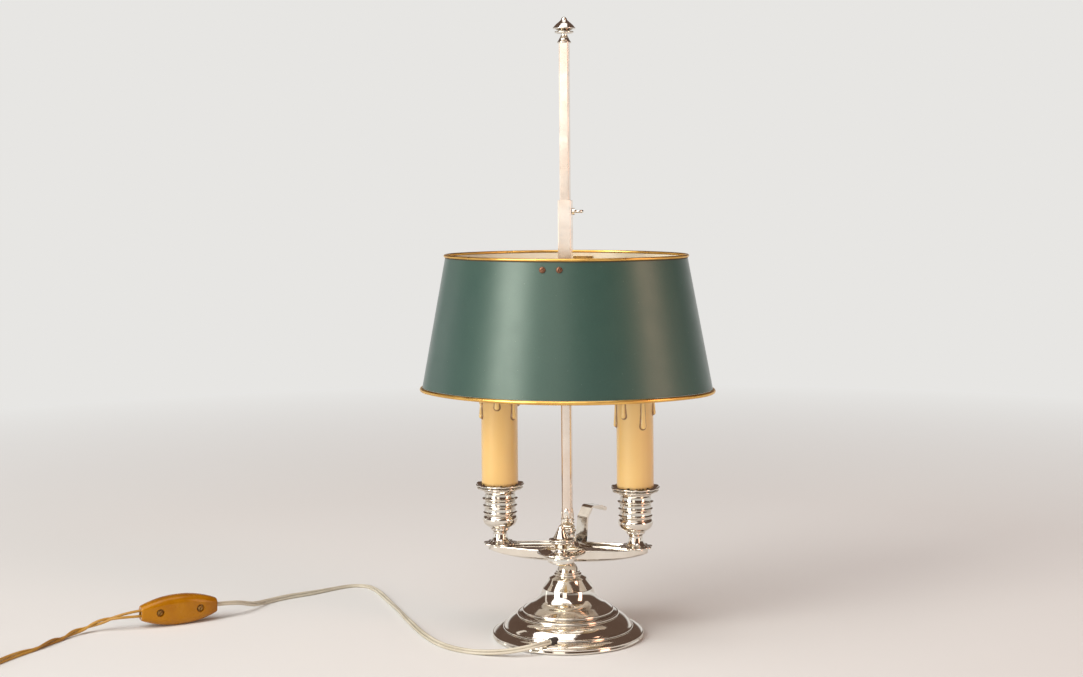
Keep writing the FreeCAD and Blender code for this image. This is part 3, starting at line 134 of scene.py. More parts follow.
def buildSpecks():  # small scattered spots of dust or chips
    group, start = newGroup("dustSpecks", "Mask", Scale=300.0, Share=0.1)
    place = addNode(group, "TexCoord").outputs["Object"]
    cells = addNode(group, "TexVoronoi", {"Vector": place, "Scale": start["Scale"]})
    return endGroup(group, mapRange(group, cells.outputs["Distance"], start["Share"], 0.0))


groups = {"mottle": buildMottle(), "streaks": buildStreaks(), "grooves": buildGrooves(), "specks": buildSpecks()}
print("shader groups built")


def newMaterial(name, colour, roughness=0.5, metallic=0.0, coat=0.0, coatRoughness=0.1):
    material = bpy.data.materials.new(name)
    material.use_nodes = True
    shader = material.node_tree.nodes["Principled BSDF"]
    for label, value in (("Base Color", (*colour, 1.0)), ("Roughness", roughness), ("Metallic", metallic),
                         ("Coat Weight", coat), ("Coat Roughness", coatRoughness)):
        shader.inputs[label].default_value = value
    return material, material.node_tree, shader


def useGroup(tree, key, **values):
    return addNode(tree, "Group", values, node_tree=groups[key]).outputs[0]


def mixColours(tree, factor, first, second):
    first, second = ((*colour, 1.0) if isinstance(colour, tuple) else colour for colour in (first, second))
    return addNode(tree, "Mix", {0: factor, 6: first, 7: second}, data_type="RGBA").outputs[2]


def addBump(tree, shader, height, strength, distance, after=None):
    inputs = {"Strength": strength, "Distance": distance, "Height": height}
    if after:
        inputs["Normal"] = after
    normal = addNode(tree, "Bump", inputs).outputs["Normal"]
    tree.links.new(normal, shader.inputs["Normal"])
    return normal


def addGloss(tree, shader, scale, detail, low, high):  # roughness that changes softly over the piece
    gloss = useGroup(tree, "mottle", Scale=scale, Detail=detail, Low=low, High=high)
    tree.links.new(gloss, shader.inputs["Roughness"])


def layColours(tree, shader, colour, layers):  # each layer: its group, the group's values, the colour laid over
    for key, values, over in layers:
        colour = mixColours(tree, useGroup(tree, key, **values), colour, over)
    tree.links.new(colour, shader.inputs["Base Color"])


def darker(colour, share):
    return tuple(share * c for c in colour)


def metal(name, bright, dull, roughness, wear=0.35, dents=0.00012, dentScale=55.0):
    material, tree, shader = newMaterial(name, bright, metallic=1.0)
    layColours(tree, shader, bright, [
        ("mottle", {"Scale": 38.0, "Detail": 6.0, "High": wear}, dull),
        ("grooves", {"Open": 0.497, "Deep": 0.43}, darker(dull, 0.45))])
    addGloss(tree, shader, 70.0, 8.0, *roughness)
    first = addBump(tree, shader, useGroup(tree, "mottle", Scale=dentScale, Detail=2.0), 0.5, dents)
    addBump(tree, shader, useGroup(tree, "streaks", Scale=420.0, Squeeze=0.12), 0.12, 0.00003, first)
    return material


# paint, resin and skin: layers of colour, gloss (scale, detail, low, high) and grain (scale, strength, depth)
def coated(name, base, layers, gloss, grain, coat=(0.0, 0.1), level=0.5, tint=(1.0, 1.0, 1.0)):
    material, tree, shader = newMaterial(name, base, coat=coat[0], coatRoughness=coat[1])
    layColours(tree, shader, base, layers)
    addGloss(tree, shader, *gloss)
    scale, strength, depth = grain
    addBump(tree, shader, useGroup(tree, "mottle", Scale=scale, Detail=3.0), strength, depth)
    shader.inputs["Specular IOR Level"].default_value = level
    shader.inputs["Specular Tint"].default_value = (*tint, 1.0)
    return material


def paint(name, colour, shade, roughness, scale=40.0, grain=500.0, strength=0.15):
    return coated(name, colour, [("mottle", {"Scale": scale, "Detail": 6.0, "High": 0.7}, shade)],
                  (scale * 2, 4.0, roughness - 0.06, roughness + 0.06), (grain, strength, 0.0001))


def amberResin(name, base, deep):
    return coated(name, base, [
        ("mottle", {"Scale": 45.0, "Detail": 3.0, "High": 0.8}, deep),
        ("specks", {"Scale": 240.0, "Share": 0.12}, darker(deep, 0.7))],
        (120.0, 6.0, 0.20, 0.32), (260.0, 0.08, 0.0001), (0.3, 0.08), 0.35, (1.0, 0.72, 0.35))


def flexSkin(name, base, grimeAndShade):
    return coated(name, base, [
        ("mottle", {"Scale": 26.0, "Detail": 7.0, "High": 0.75}, grimeAndShade),
        ("specks", {"Scale": 420.0, "Share": 0.10}, darker(grimeAndShade, 0.55)),
        # painted shade: darker in the hollows, such as the groove between the two strands
        ("grooves", {"Open": 0.49, "Deep": 0.40}, darker(grimeAndShade, 0.4))],
        (60.0, 5.0, 0.34, 0.52), (650.0, 0.10, 0.0001))


def lacquer():
    return coated("greenLacquer", (0.010, 0.046, 0.034), [
        ("mottle", {"Scale": 14.0, "Detail": 5.0, "High": 0.5}, (0.006, 0.034, 0.032)),
        ("mottle", {"Scale": 900.0, "Detail": 2.0, "High": 0.35}, (0.018, 0.066, 0.050)),
        ("specks", {"Scale": 160.0, "Share": 0.055}, (0.20, 0.27, 0.22))],
        (60.0, 6.0, 0.36, 0.44), (700.0, 0.10, 0.00006), (0.7, 0.32), 0.7, (0.80, 1.0, 0.84))


def candleResin():  # the drip mask is painted on the sleeve's own mesh: drips pale, their outlines dark as painted shade
    base, streaked, pale, dark = (0.74, 0.45, 0.135), (0.83, 0.57, 0.22), (0.86, 0.58, 0.20), (0.17, 0.06, 0.012)
    material, tree, shader = newMaterial("candleResin", base, coat=0.8, coatRoughness=0.22)
    colour = mixColours(tree, useGroup(tree, "streaks", Scale=46.0, Squeeze=0.05, High=0.6), base, streaked)
    mask = addNode(tree, "Attribute", attribute_name="waxAndShade").outputs["Color"]
    split = addNode(tree, "SeparateColor", {"Color": mask})
    # green lays the drips' paler body, red the painted shade along their outlines
    for channel, over in (("Green", pale), ("Red", dark)):
        colour = mixColours(tree, split.outputs[channel], colour, over)
    tree.links.new(colour, shader.inputs["Base Color"])
    addGloss(tree, shader, 90.0, 5.0, 0.28, 0.40)
    addBump(tree, shader, useGroup(tree, "streaks", Scale=90.0, Squeeze=0.10), 0.10, 0.0001)
    shader.inputs["Subsurface Weight"].default_value = 0.08
    shader.inputs["Subsurface Radius"].default_value = (0.004, 0.002, 0.001)
    shader.inputs["Subsurface Scale"].default_value = 1.0
    return material


def bulbGlass():
    material, tree, shader = newMaterial("bulbGlass", (0.97, 0.97, 0.96))
    shader.inputs["Transmission Weight"].default_value = 1.0
    shader.inputs["IOR"].default_value = 1.45
    addGloss(tree, shader, 80.0, 4.0, 0.01, 0.06)
    return material


finish = {
    "silver": metal("silverPlate", (0.86, 0.82, 0.75), (0.50, 0.40, 0.30), (0.05, 0.13)),
    "rodSilver": metal("rodSilver", (0.96, 0.87, 0.78), (0.80, 0.62, 0.50), (0.16, 0.28), wear=0.6),
    "gilt": metal("giltRim", (0.90, 0.56, 0.16), (0.55, 0.27, 0.06), (0.24, 0.38), wear=0.6),
    "brass": metal("turnedBrass", (0.74, 0.54, 0.26), (0.40, 0.26, 0.12), (0.20, 0.34), wear=0.5),
    "copper": metal("copperScrew", (0.26, 0.125, 0.075), (0.08, 0.04, 0.028), (0.34, 0.5), wear=0.9),
    "steel": metal("platedSteel", (0.62, 0.61, 0.58), (0.34, 0.32, 0.30), (0.22, 0.36)),
    "iron": metal("castIron", (0.13, 0.12, 0.115), (0.07, 0.05, 0.04), (0.55, 0.75), 0.8, 0.0004, 220.0),
    "screwHead": metal("agedScrew", (0.50, 0.30, 0.09), (0.22, 0.11, 0.03), (0.30, 0.45), wear=0.8),
    "lacquer": lacquer(),
    "cream": paint("creamPaint", (0.86, 0.80, 0.66), (0.74, 0.64, 0.46), 0.50, scale=22.0),
    "candle": candleResin(),
    "amber": amberResin("amberResin", (0.39, 0.155, 0.001), (0.24, 0.072, 0.001)),
    "darkResin": amberResin("darkResin", (0.16, 0.06, 0.015), (0.09, 0.03, 0.008)),
    "ivoryFlex": flexSkin("ivoryFlex", (0.62, 0.58, 0.48), (0.36, 0.30, 0.21)),
    "goldFlex": flexSkin("goldFlex", (0.52, 0.29, 0.05), (0.28, 0.12, 0.015)),
    "holder": paint("blackHolder", (0.030, 0.027, 0.025), (0.06, 0.05, 0.045), 0.42, grain=300.0),
    "felt": paint("greenFelt", (0.030, 0.085, 0.045), (0.018, 0.05, 0.028), 0.95, 120.0, 1500.0, 0.8),
    "rimShadow": paint("rimShadow", (0.035, 0.028, 0.016), (0.06, 0.035, 0.012), 0.6),
    "glass": bulbGlass(),
}
print("materials built:", len(finish))

# mesh helpers, all outlines in millimetres
onAxis = 0.02  # an outline's points nearer the axis than this are on it
sharpEdge = 35.0  # edges steeper than this stay sharp, degrees


def makeObject(name, verts, faces, material, body="lamp", sharp=sharpEdge):
    mesh = bpy.data.meshes.new(name)
    mesh.from_pydata([Vector(v) * mm for v in verts], [], faces)
    mesh.validate()
    bm = bmesh.new()
    bm.from_mesh(mesh)
    bmesh.ops.remove_doubles(bm, verts=bm.verts, dist=0.000002)
    bmesh.ops.recalc_face_normals(bm, faces=bm.faces)
    bm.to_mesh(mesh)
    bm.free()
    mesh.polygons.foreach_set("use_smooth", [True] * len(mesh.polygons))
    if sharp:
        mesh.set_sharp_from_angle(angle=math.radians(sharp))
    thing = bpy.data.objects.new(name, mesh)
    bpy.context.scene.collection.objects.link(thing)
    mesh.materials.append(material)
    if body:
        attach(thing, body)
    return thing


def arcPoints(start, through, end, steps):
    ax, ay = start
    bx, by = through
    cx, cy = end
    d = 2 * (ax * (by - cy) + bx * (cy - ay) + cx * (ay - by))
    if abs(d) < 1e-9:
        return [end]
    a2, b2, c2 = ax**2 + ay**2, bx**2 + by**2, cx**2 + cy**2
    ux = (a2 * (by - cy) + b2 * (cy - ay) + c2 * (ay - by)) / d
    uy = (a2 * (cx - bx) + b2 * (ax - cx) + c2 * (bx - ax)) / d
    radius = math.hypot(ax - ux, ay - uy)
    first = math.atan2(ay - uy, ax - ux)
    full = 2 * math.pi
    middle = (math.atan2(by - uy, bx - ux) - first) % full
    last = (math.atan2(cy - uy, cx - ux) - first) % full
    if middle > last:
        last -= full
    angles = [first + last * i / steps for i in range(1, steps + 1)]
    return [(ux + radius * math.cos(a), uy + radius * math.sin(a)) for a in angles]


def drawOutline(outline, soft=0.25, steps=9, flat=0.35):  # arcs drawn, corners rounded unless nearly flat
    points = []
    corner = []
    for item in outline:
        if isinstance(item[0], tuple):
            run = arcPoints(points[-1], item[0], item[1], steps)
            points += run
            corner += [False] * (len(run) - 1) + [True]
        else:
            points.append(item)
            corner.append(True)
    rounded = []
    for i, point in enumerate(points):
        spot = Vector(point)
        before = Vector(points[i - 1]) - spot
        after = Vector(points[(i + 1) % len(points)]) - spot
        plain = point[0] < onAxis or not corner[i] or before.length < 1e-6 or after.length < 1e-6
        if plain or math.pi - before.angle(after) < flat:
            rounded.append(point)
            continue
        reach = min(soft, before.length * 0.4, after.length * 0.4)
        a = spot + before.normalized() * reach
        c = spot + after.normalized() * reach
        rounded += [tuple(a), tuple((a + c) * 0.25 + spot * 0.5), tuple(c)]
    return rounded


def circle(count):
    return [2 * math.pi * k / count for k in range(count)]


def loftRings(rings, ends="joined", start=0):  # the first and last ring are joined, capped or left open
    count = len(rings[0])
    verts = [spot for ring in rings for spot in ring]
    faces = []
    for i in range(len(rings) if ends == "joined" else len(rings) - 1):
        a = start + i * count
        b = start + (i + 1) % len(rings) * count
        faces += [(a + k, a + (k + 1) % count, b + (k + 1) % count, b + k) for k in range(count)]
    if ends == "capped":
        last = start + len(verts) - count
        faces += [tuple(range(start, start + count))[::-1], tuple(range(last, last + count))]
    return verts, faces


def lathe(name, outline, material, at=(0.0, 0.0), turns=128, soft=0.25, steps=9, ripple=None, body="lamp"):
    verts = []
    rings = []
    for radius, height in drawOutline(outline, soft, steps):
        first = len(verts)
        if radius < onAxis:
            verts.append((at[0], at[1], height))
        else:
            for angle in circle(turns):
                r, z = ripple(radius, height, angle) if ripple else (radius, height)
                verts.append((at[0] + r * math.cos(angle), at[1] + r * math.sin(angle), z))
        rings.append(range(first, len(verts)))
    faces = []
    for i, low in enumerate(rings):
        high = rings[(i + 1) % len(rings)]
        for k in range(turns):
            n = (k + 1) % turns
            if len(low) == 1 and len(high) == 1:
                continue
            if len(low) == 1:
                faces.append((low[0], high[n], high[k]))
            elif len(high) == 1:
                faces.append((low[k], low[n], high[0]))
            else:
                faces.append((low[k], low[n], high[n], high[k]))
    return makeObject(name, verts, faces, material, body)


def standFor(thing, slot, *stood):  # hides the CAD nodes that a piece stands for; the material slot is not used
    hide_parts(*stood)
    return thing


def silverTurned(name, node, outline, **more):
    return standFor(lathe(name, outline, finish["silver"], **more), "silver_plate", node)


def dome(radius, top):
    half = math.sqrt(0.5)
    return [(radius, top - radius), ((radius * half, top - radius * (1 - half)), (0.0, top))]


def cutWith(thing, tools):  # real holes, then the tools go
    for tool in tools:
        knife = thing.modifiers.new("cut", "BOOLEAN")
        knife.operation = "DIFFERENCE"
        knife.solver = "EXACT"
        knife.object = tool
    bpy.context.view_layer.update()
    graph = bpy.context.evaluated_depsgraph_get()
    mesh = bpy.data.meshes.new_from_object(thing.evaluated_get(graph))
    thing.modifiers.clear()
    thing.data = mesh
    for tool in tools:
        bpy.data.objects.remove(tool)
    mesh.polygons.foreach_set("use_smooth", [True] * len(mesh.polygons))
    mesh.set_sharp_from_angle(angle=math.radians(sharpEdge))


def makeRod(radius, start, end, material, name="tool", sides=32):
    way = (Vector(end) - Vector(start)).normalized()
    side = way.orthogonal().normalized()
    other = way.cross(side)
    rings = []
    for spot in (start, end):
        rings.append([Vector(spot) + (side * math.cos(angle) + other * math.sin(angle)) * radius
                      for angle in circle(sides)])
    return makeObject(name, *loftRings(rings, "capped"), material, body=None)


def makeBox(low, high, material, name="tool", body=None):
    verts = [(x, y, z) for z in (low[2], high[2]) for y in (low[1], high[1]) for x in (low[0], high[0])]
    faces = [(0, 2, 3, 1), (4, 5, 7, 6), (0, 1, 5, 4), (2, 6, 7, 3), (0, 4, 6, 2), (1, 3, 7, 5)]
    return makeObject(name, verts, faces, material, body)


# cords: the same points as the source, in metres, as smooth splines
cordWidth = 0.005
lampSideRoute = [(-6.0, -59.8, 9.6), (-13.5, -68.9, 9.4), (-28, -76, 7.0), (-46, -76, 4.0), (-67, -73, 2.5),
                 (-87, -66, 2.5), (-105, -52, 2.5), (-120, -33, 2.5), (-135, -9, 2.5), (-152, 24, 2.5),
                 (-174, 66, 2.5), (-199, 110, 2.5), (-213, 134, 2.5), (-226, 149.5, 2.5), (-242, 150.5, 2.5),
                 (-255, 137, 2.5), (-271, 113, 2.5), (-291, 93, 2.5), (-305, 71, 2.5), (-309, 47, 5.5),
                 (-318, 23.5, 13.5), (-335.8, 10.0, 13.5)]
plugSideRoute = [(-386.2, -28.0, 13.5), (-400.0, -38.4, 13.5), (-417, -41, 9.5), (-432, -52, 5.0),
                 (-441, -73, 2.5), (-446, -101, 2.5), (-455, -130, 2.5), (-461, -157, 2.5), (-465, -184, 2.5)]
leadRoute = [(-537.8, -173.2, 8.1), (-535.2, -155.4, 7.0), (-535.5, -137.2, 5.0), (-544.0, -119.7, 6.0),
             (-554.1, -106.1, 8.0)]
coilFacts = {
    "centre": (-499.366, -183.963),
    "turned": -8.43,
    "radii": [34.0, 31.2, 28.4, 25.6, 22.8, 20.0, 22.8, 25.6, 28.4, 31.2, 34.0],
    "low": 2.5,
    "high": 8.1,
    "pointsPerHalf": 8,
}


def coilPoints(facts):  # half turns of changing radius, one layer up and out again
    spin = Matrix.Rotation(math.radians(facts["turned"]), 3, "Z")
    shift = Vector((*facts["centre"], 0.0))
    x = facts["radii"][0]
    heading = 1
    middle = len(facts["radii"]) // 2
    places = []
    for index, radius in enumerate(facts["radii"]):
        centre = x - radius * heading
        # control points of a quadratic spline stand a little outside the turn
        reach = radius / math.cos(math.pi / facts["pointsPerHalf"] / 2)
        for k in range(facts["pointsPerHalf"]):
            share = (k + 0.5) / facts["pointsPerHalf"]
            angle = math.pi * share
            climb = share if index == middle else float(index > middle)
            z = facts["low"] + (facts["high"] - facts["low"]) * climb
            spot = Vector((centre + reach * math.cos(angle) * heading, -reach * math.sin(angle) * heading, z))
            places.append(tuple(spin @ spot + shift))
        x -= 2 * radius * heading
        heading = -heading
    return places


def smoothLine(name, route):
    curve = bpy.data.curves.new(name, "CURVE")
    curve.dimensions = "3D"
    spline = curve.splines.new("NURBS")
    spline.points.add(len(route) - 1)
    for point, spot in zip(spline.points, route):
        point.co = (*(Vector(spot) * mm), 1.0)
    spline.order_u = 3
    spline.use_endpoint_u = True
    spline.resolution_u = 8
    thing = bpy.data.objects.new(name, curve)
    bpy.context.scene.collection.objects.link(thing)
    bpy.context.view_layer.update()
    mesh = bpy.data.meshes.new_from_object(thing)
    points = [vertex.co.copy() for vertex in mesh.vertices]
    bpy.data.objects.remove(thing)
    return points


def evenly(points, step):
    total = [0.0]
    for a, b in zip(points, points[1:]):
        total.append(total[-1] + (b - a).length)
    count = max(2, int(total[-1] / step))
    result = []
    j = 0
    for i in range(count + 1):
        want = total[-1] * i / count
        while j < len(total) - 2 and total[j + 1] < want:
            j += 1
        share = (want - total[j]) / max(total[j + 1] - total[j], 1e-9)
        result.append(points[j].lerp(points[j + 1], share))
    return result, total[-1]


flexFacts = {
    "strand": 1.22,  # radius of one core's skin, mm
    "apart": 1.24,  # from the middle of the flex to the middle of a strand
    "sides": 12,
    "step": 0.0016,
    "fade": 0.006,  # above this height it no longer settles on the floor
    "held": 0.03,  # it settles over this length from a held end
}


def layFlex(name, route, lie, spread, farHeld, facts):
    points, length = evenly(smoothLine(name + "Line", route), facts["step"])
    last = len(points) - 1
    tangents = [(points[min(i + 1, last)] - points[max(i - 1, 0)]).normalized() for i in range(last + 1)]
    twist = [lie(i / last, length) for i in range(last + 1)]
    strand, apart = facts["strand"] * mm, facts["apart"] * mm
    # the flex lies on its flat side or its edge as it twists, so its middle drops with it
    for i, point in enumerate(points):
        drop = cordWidth / 2 - strand - apart * abs(math.sin(twist[i]))
        hold = min(1.0, max(0.0, 1.0 - (point.z - cordWidth / 2) / facts["fade"]))
        free = min(i, last - i) if farHeld else i
        point.z -= drop * hold * min(1.0, free * facts["step"] / facts["held"])
    verts, faces = [], []
    for strandSide in (-1, 1):
        rings = []
        for i, point in enumerate(points):
            level = tangents[i].cross(Vector((0, 0, 1))).normalized()
            up = level.cross(tangents[i]).normalized()
            away = level * math.cos(twist[i]) + up * math.sin(twist[i])
            normal = away.cross(tangents[i]).normalized()
            middle = point + away * (apart + spread(i * facts["step"]) * mm) * strandSide
            rings.append([(middle + (away * math.cos(angle) + normal * math.sin(angle)) * strand) / mm
                          for angle in circle(facts["sides"])])
        ringVerts, ringFaces = loftRings(rings, "capped", start=len(verts))
        verts += ringVerts
        faces += ringFaces
    thing = makeObject(name, verts, faces, finish[name], sharp=60.0)
    return thing, points, length


def noSpread(run):
    return 0.0


def ivoryLie(share, length):  # slow half twists
    return 0.55 * math.sin(share * 9.0) + 0.35 * math.sin(share * 23.0 + 1.0) + 0.5


def goldLie(share, length):  # on its edge where it leaves the switch, then 3.4 half turns
    run = share * length
    turns = 3.4 * math.sin(min(1.0, max(0.0, run - 0.03) / 0.13) * math.pi / 2)
    return math.pi / 2 * min(1.0, max(0.0, 1.0 - run / 0.03)) + math.pi * turns


def goldSpread(run):  # the two strands leave the switch apart and then meet
    return 1.3 * max(0.0, 1.0 - run / 0.045) ** 1.3


ivory, ivoryPath, ivoryLength = layFlex("ivoryFlex", lampSideRoute, ivoryLie, noSpread, True,
                                        flexFacts)
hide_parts("cord_lamp_side")
plugRoute = plugSideRoute + coilPoints(coilFacts) + leadRoute
gold, goldPath, goldLength = layFlex("goldFlex", plugRoute, goldLie, goldSpread, False, flexFacts)
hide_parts("cord_plug_side", "cord_coil", "cord_plug_lead")
print("cords laid, m:", round(ivoryLength, 3), round(goldLength, 3))


# base: a hollow turned foot with the cord's hole, steps given by their radii
baseFacts = {
    "radius": 67.0,
    "first": 57.62,
    "second": 44.62,
    "bell": 33.97,
    "shoulder": 18.02,
    "crown": 11.99,
    "plate": 61.0,
    "hole": (265.5, 58.3, 9.6, 3.5),  # angle, distance, height and radius
    "holeWay": 230.5,
}


def makeBase(facts):
    r, first, second = facts["radius"], facts["first"], facts["second"]
    bell, shoulder, crown, plate = facts["bell"], facts["shoulder"], facts["crown"], facts["plate"]
    base = lathe("baseDome", [
        (plate + 0.3, 0.4), (r - 1.0, 0.4), ((r - 0.2, 1.0), (r, 2.2)), (r - 0.6, 3.4),
        ((r + 0.1, 4.3), (r - 0.9, 5.2)), ((r - 3.2, 7.0), (first, 8.6)),
        ((first + 0.2, 9.5), (first - 1.0, 10.5)), ((first - 4.6, 15.2), (second, 19.5)),
        ((second + 0.6, 20.6), (second - 1.0, 21.6)), (second - 4.6, 23.0),
        ((second - 4.0, 24.2), (second - 5.4, 25.2)), (bell, 29.1),
        ((bell - 7.6, 34.1), (bell - 11.4, 43.0)), ((shoulder + 1.0, 47.6), (shoulder - 1.5, 52.0)),
        (crown, 54.0), (4.05, 54.0), (4.05, 52.0), (9.0, 52.0), (shoulder - 3.4, 50.4), (bell - 13.2, 40.5),
        ((bell - 9.6, 32.3), (bell - 3.6, 27.1)), (second - 3.6, 18.6), (first - 6.8, 11.6),
        (plate - 1.8, 5.4), (plate - 1.8, 2.2), (plate + 0.3, 2.2)], finish["silver"], turns=192, steps=12, soft=0.3)
    turn, distance, height, radius = facts["hole"]
    angle, way = math.radians(turn), math.radians(facts["holeWay"])
    spot = Vector((distance * math.cos(angle), distance * math.sin(angle), height))
    reach = Vector((math.cos(way), math.sin(way), 0.0)) * 10
    cutWith(base, [makeRod(radius, spot - reach, spot + reach, finish["silver"])])
    standFor(base, "silver_plate", "base_shell")


makeBase(baseFacts)


def leafRipple(count, low, high, depth):  # shallow leaves around a foot
    def ripple(radius, height, angle):
        share = (height - low) / (high - low)
        if share <= 0.0 or share >= 1.0:
            return radius, height
        swell = math.sin(math.pi * share)
        return radius * (1 - depth * swell * (0.5 - 0.5 * math.cos(count * angle))), height
    return ripple


silverTurned("stemKnop", "stem_knop", [
    (4.05, 54.0), (11.4, 54.0), ((12.4, 54.9), (11.6, 55.9)), (10.6, 56.3), ((11.0, 56.9), (10.2, 57.5)),
    ((8.5, 61.4), (5.2, 65.0)), ((5.0, 65.8), (6.2, 67.0)), (4.05, 67.0)], turns=96)
silverTurned("rodFoot", "rod_foot", [
    (4.05, 78.8), (11.2, 78.8), (11.2, 80.4), ((8.2, 85.2), (6.6, 91.9)), ((7.6, 93.1), (6.6, 94.3)), (6.6, 95.3),
    (3.0, 95.3), (3.0, 86.8), (4.05, 86.8)], steps=14, ripple=leafRipple(8, 80.4, 91.9, 0.16))
silverTurned("finialCollar", "finial_collar", [
    (3.0, 526.5), (5.7, 526.5), ((6.3, 527.1), (5.9, 527.9)), ((4.8, 529.5), (4.1, 531.1)), (3.0, 531.1)], turns=72)
silverTurned("finialTurned", "finial", [
    (3.0, 531.1), (4.1, 531.1), ((3.1, 533.2), (3.3, 535.4)), (6.8, 535.9), ((8.6, 536.5), (7.2, 537.2)),
    (5.0, 537.7), (6.2, 538.3), (9.5, 539.2), ((10.2, 539.8), (9.7, 540.5)), ((7.7, 542.9), (5.4, 544.9))]
    + dome(2.7, 550.0) + [(0.0, 532.5), (3.0, 532.5)], turns=96)
print("base and column made")

# dish and button at the front, on their own lobe of the tray
dishFacts = {
    "at": (0.0, -33.0),
    "foot": 11.0,
    "radius": 21.4,
    "low": 77.0,
    "buttonLow": 78.4,
    "lobe": 12.0,
    "lobeLow": 72.5,
    "web": ((-11.9, -33.0, 72.6), (11.9, -17.0, 76.95)),
}


def makeDish(facts):
    r, foot, z = facts["radius"], facts["foot"], facts["low"]
    silverTurned("frontDish", "front_dish", [
        (2.1, z), (foot, z), (foot + 1.6, z + 0.5), ((r - 3.6, z + 1.7), (r - 0.7, z + 3.7)),
        ((r, z + 4.3), (r - 1.0, z + 4.4)), ((r - 4.4, z + 2.5), (foot - 1.4, z + 1.4)), (2.1, z + 1.4)],
        at=facts["at"])
    z = facts["buttonLow"]
    silverTurned("frontButton", "front_button", [
        (2.0, z), (9.2, z), ((9.6, z + 0.9), (8.6, z + 1.6)), ((5.6, z + 4.2), (5.9, z + 8.6)), (6.6, z + 10.2),
        (9.6, z + 11.2), ((10.6, z + 12.0), (9.8, z + 12.9)), (10.2, z + 13.2), ((11.0, z + 13.9), (10.2, z + 14.7)),
        (7.4, z + 15.4), ((5.4, z + 19.0), (3.4, z + 23.0))]
        + dome(2.6, z + 26.4) + [(0.0, z + 6.0), (2.0, z + 6.0)], at=facts["at"], turns=96)


makeDish(dishFacts)

# arm tray: a shallow boat with a recessed floor
trayFacts = {
    "half": 21.0,
    "endHalf": 11.5,
    "endAt": 59.0,
    "tip": 72.0,
    "deck": 77.0,
    "rim": 80.0,
    "hull": (76.0, 25.0, 13.4),
    "hullRows": (0.02, 0.12, 0.25, 0.4, 0.55, 0.7, 0.82, 0.91, 0.97, 0.995),
    "rimRows": ((0.0, -1.6), (0.0, -0.7), (0.12, -0.3), (0.4, -0.05), (0.7, 0.0), (1.0, -0.05), (1.3, -0.3),
                (1.45, -0.7), (1.6, -2.4), (2.2, -3.0)),  # inset and height over the rim
    "floorRows": (0.9, 0.6, 0.3, 0.05),
    "wave": 0.22,  # the rim's edge is a little uneven above waveFrom
    "waveFrom": -1.5,
}


def trayEdge(facts, inset, perArc=48):
    half, endHalf = facts["half"] - inset, facts["endHalf"] - inset
    end, tip = facts["endAt"], facts["tip"] - inset
    points = [(end, endHalf)]
    for through, stop in (((0, half), (-end, endHalf)), ((-tip, 0), (-end, -endHalf)),
                          ((0, -half), (end, -endHalf)), ((tip, 0), (end, endHalf))):
        points += arcPoints(points[-1], through, stop, perArc)
    return points[:-1]


def makeTray(facts, dish):
    a, b, c = facts["hull"]
    rim, wave = facts["rim"], facts["wave"]
    outer = trayEdge(facts, 0.0)
    rows = []
    for share in facts["hullRows"]:
        rows.append([(x * share, y * share, rim - c * math.sqrt(max(0.0, 1 - (x * share / a) ** 2
                                                                    - (y * share / b) ** 2))) for x, y in outer])
    for inset, height in facts["rimRows"]:
        row = []
        for k, (x, y) in enumerate(trayEdge(facts, inset)):
            dip = 0.0
            if height > facts["waveFrom"]:
                dip = wave * math.sin(k * 0.33) * math.sin(k * 0.071 + 1.0) - wave
            row.append((x, y, rim + height + dip))
        rows.append(row)
    inner = trayEdge(facts, facts["rimRows"][-1][0])
    for share in facts["floorRows"]:
        rows.append([(x * share, y * share, facts["deck"]) for x, y in inner])
    standFor(makeObject("armTray", *loftRings(rows, "capped"), finish["silver"]), "silver_plate", "arm_tray")
    lobe, low, top = dish["lobe"], dish["lobeLow"], facts["deck"] - 0.02
    silverTurned("trayLobe", "arm_tray", [
        (0.0, low), (lobe - 1.4, low), ((lobe - 0.3, low + 0.4), (lobe, low + 1.5)), (lobe, top), (0.0, top)],
        at=dish["at"], turns=96)
    standFor(makeBox(*dish["web"], finish["silver"], "trayWeb", "lamp"), "silver_plate", "arm_tray")


makeTray(trayFacts, dishFacts)
print("tray, dish and button made")

# candle lights
candleFacts = {
    "span": 61.0,
    "deck": 80.0,
    "cup": 95.0,
    "pan": 128.5,
    "radius": 16.5,
    "wall": 1.5,
    "bottom": 136.4,
    "top": 220.4,
    "jag": (3.0, 3.2),  # the lower edge reaches this far into the pan, and is this uneven
    "around": 200,
    "rows": 150,
    # each drip: angle from +X, length, half width
    "drips": {
        -1: [(-152, 28, 2.7), (-120, 12, 2.2), (-86, 19, 3.0), (-30, 28, 3.0), (20, 18, 2.4), (62, 26, 2.6),
             (104, 12, 2.2), (146, 20, 2.6), (176, 17, 2.4)],
        1: [(-165, 34, 2.8), (-119, 25, 3.0), (-57, 34, 3.0), (-5, 23, 2.7), (28, 18, 2.4), (62, 26, 2.6),
            (104, 12, 2.2), (150, 20, 2.6)],
    },
}


def clamp(value):
    return min(1.0, max(0.0, value))


def cupRings(z, top):  # a round bulge, then three flared rings
    outline = [(5.0, z), (7.6, z), ((12.3, z + 1.7), (15.2, z + 6.0)), ((15.5, z + 8.2), (14.0, z + 10.6))]
    for level, reach in ((z + 13.2, 15.3), (z + 19.5, 15.5), (z + 25.7, 16.1)):
        outline += [(13.7, level - 2.0), (reach - 0.4, level - 0.2),
                    ((reach, level + 0.3), (reach - 0.5, level + 0.8)), (14.0, level + 1.3)]
    return outline + [(13.4, z + 30.5), (16.2, top), (12.4, top), (12.4, z + 8.0), (5.0, z + 8.0)]


def scallop(count, depth, fromRadius, reach):
    def ripple(radius, height, angle):
        share = clamp((radius - fromRadius) / reach)
        return radius - depth * share * (0.5 + 0.5 * math.cos(count * angle)), height
    return ripple


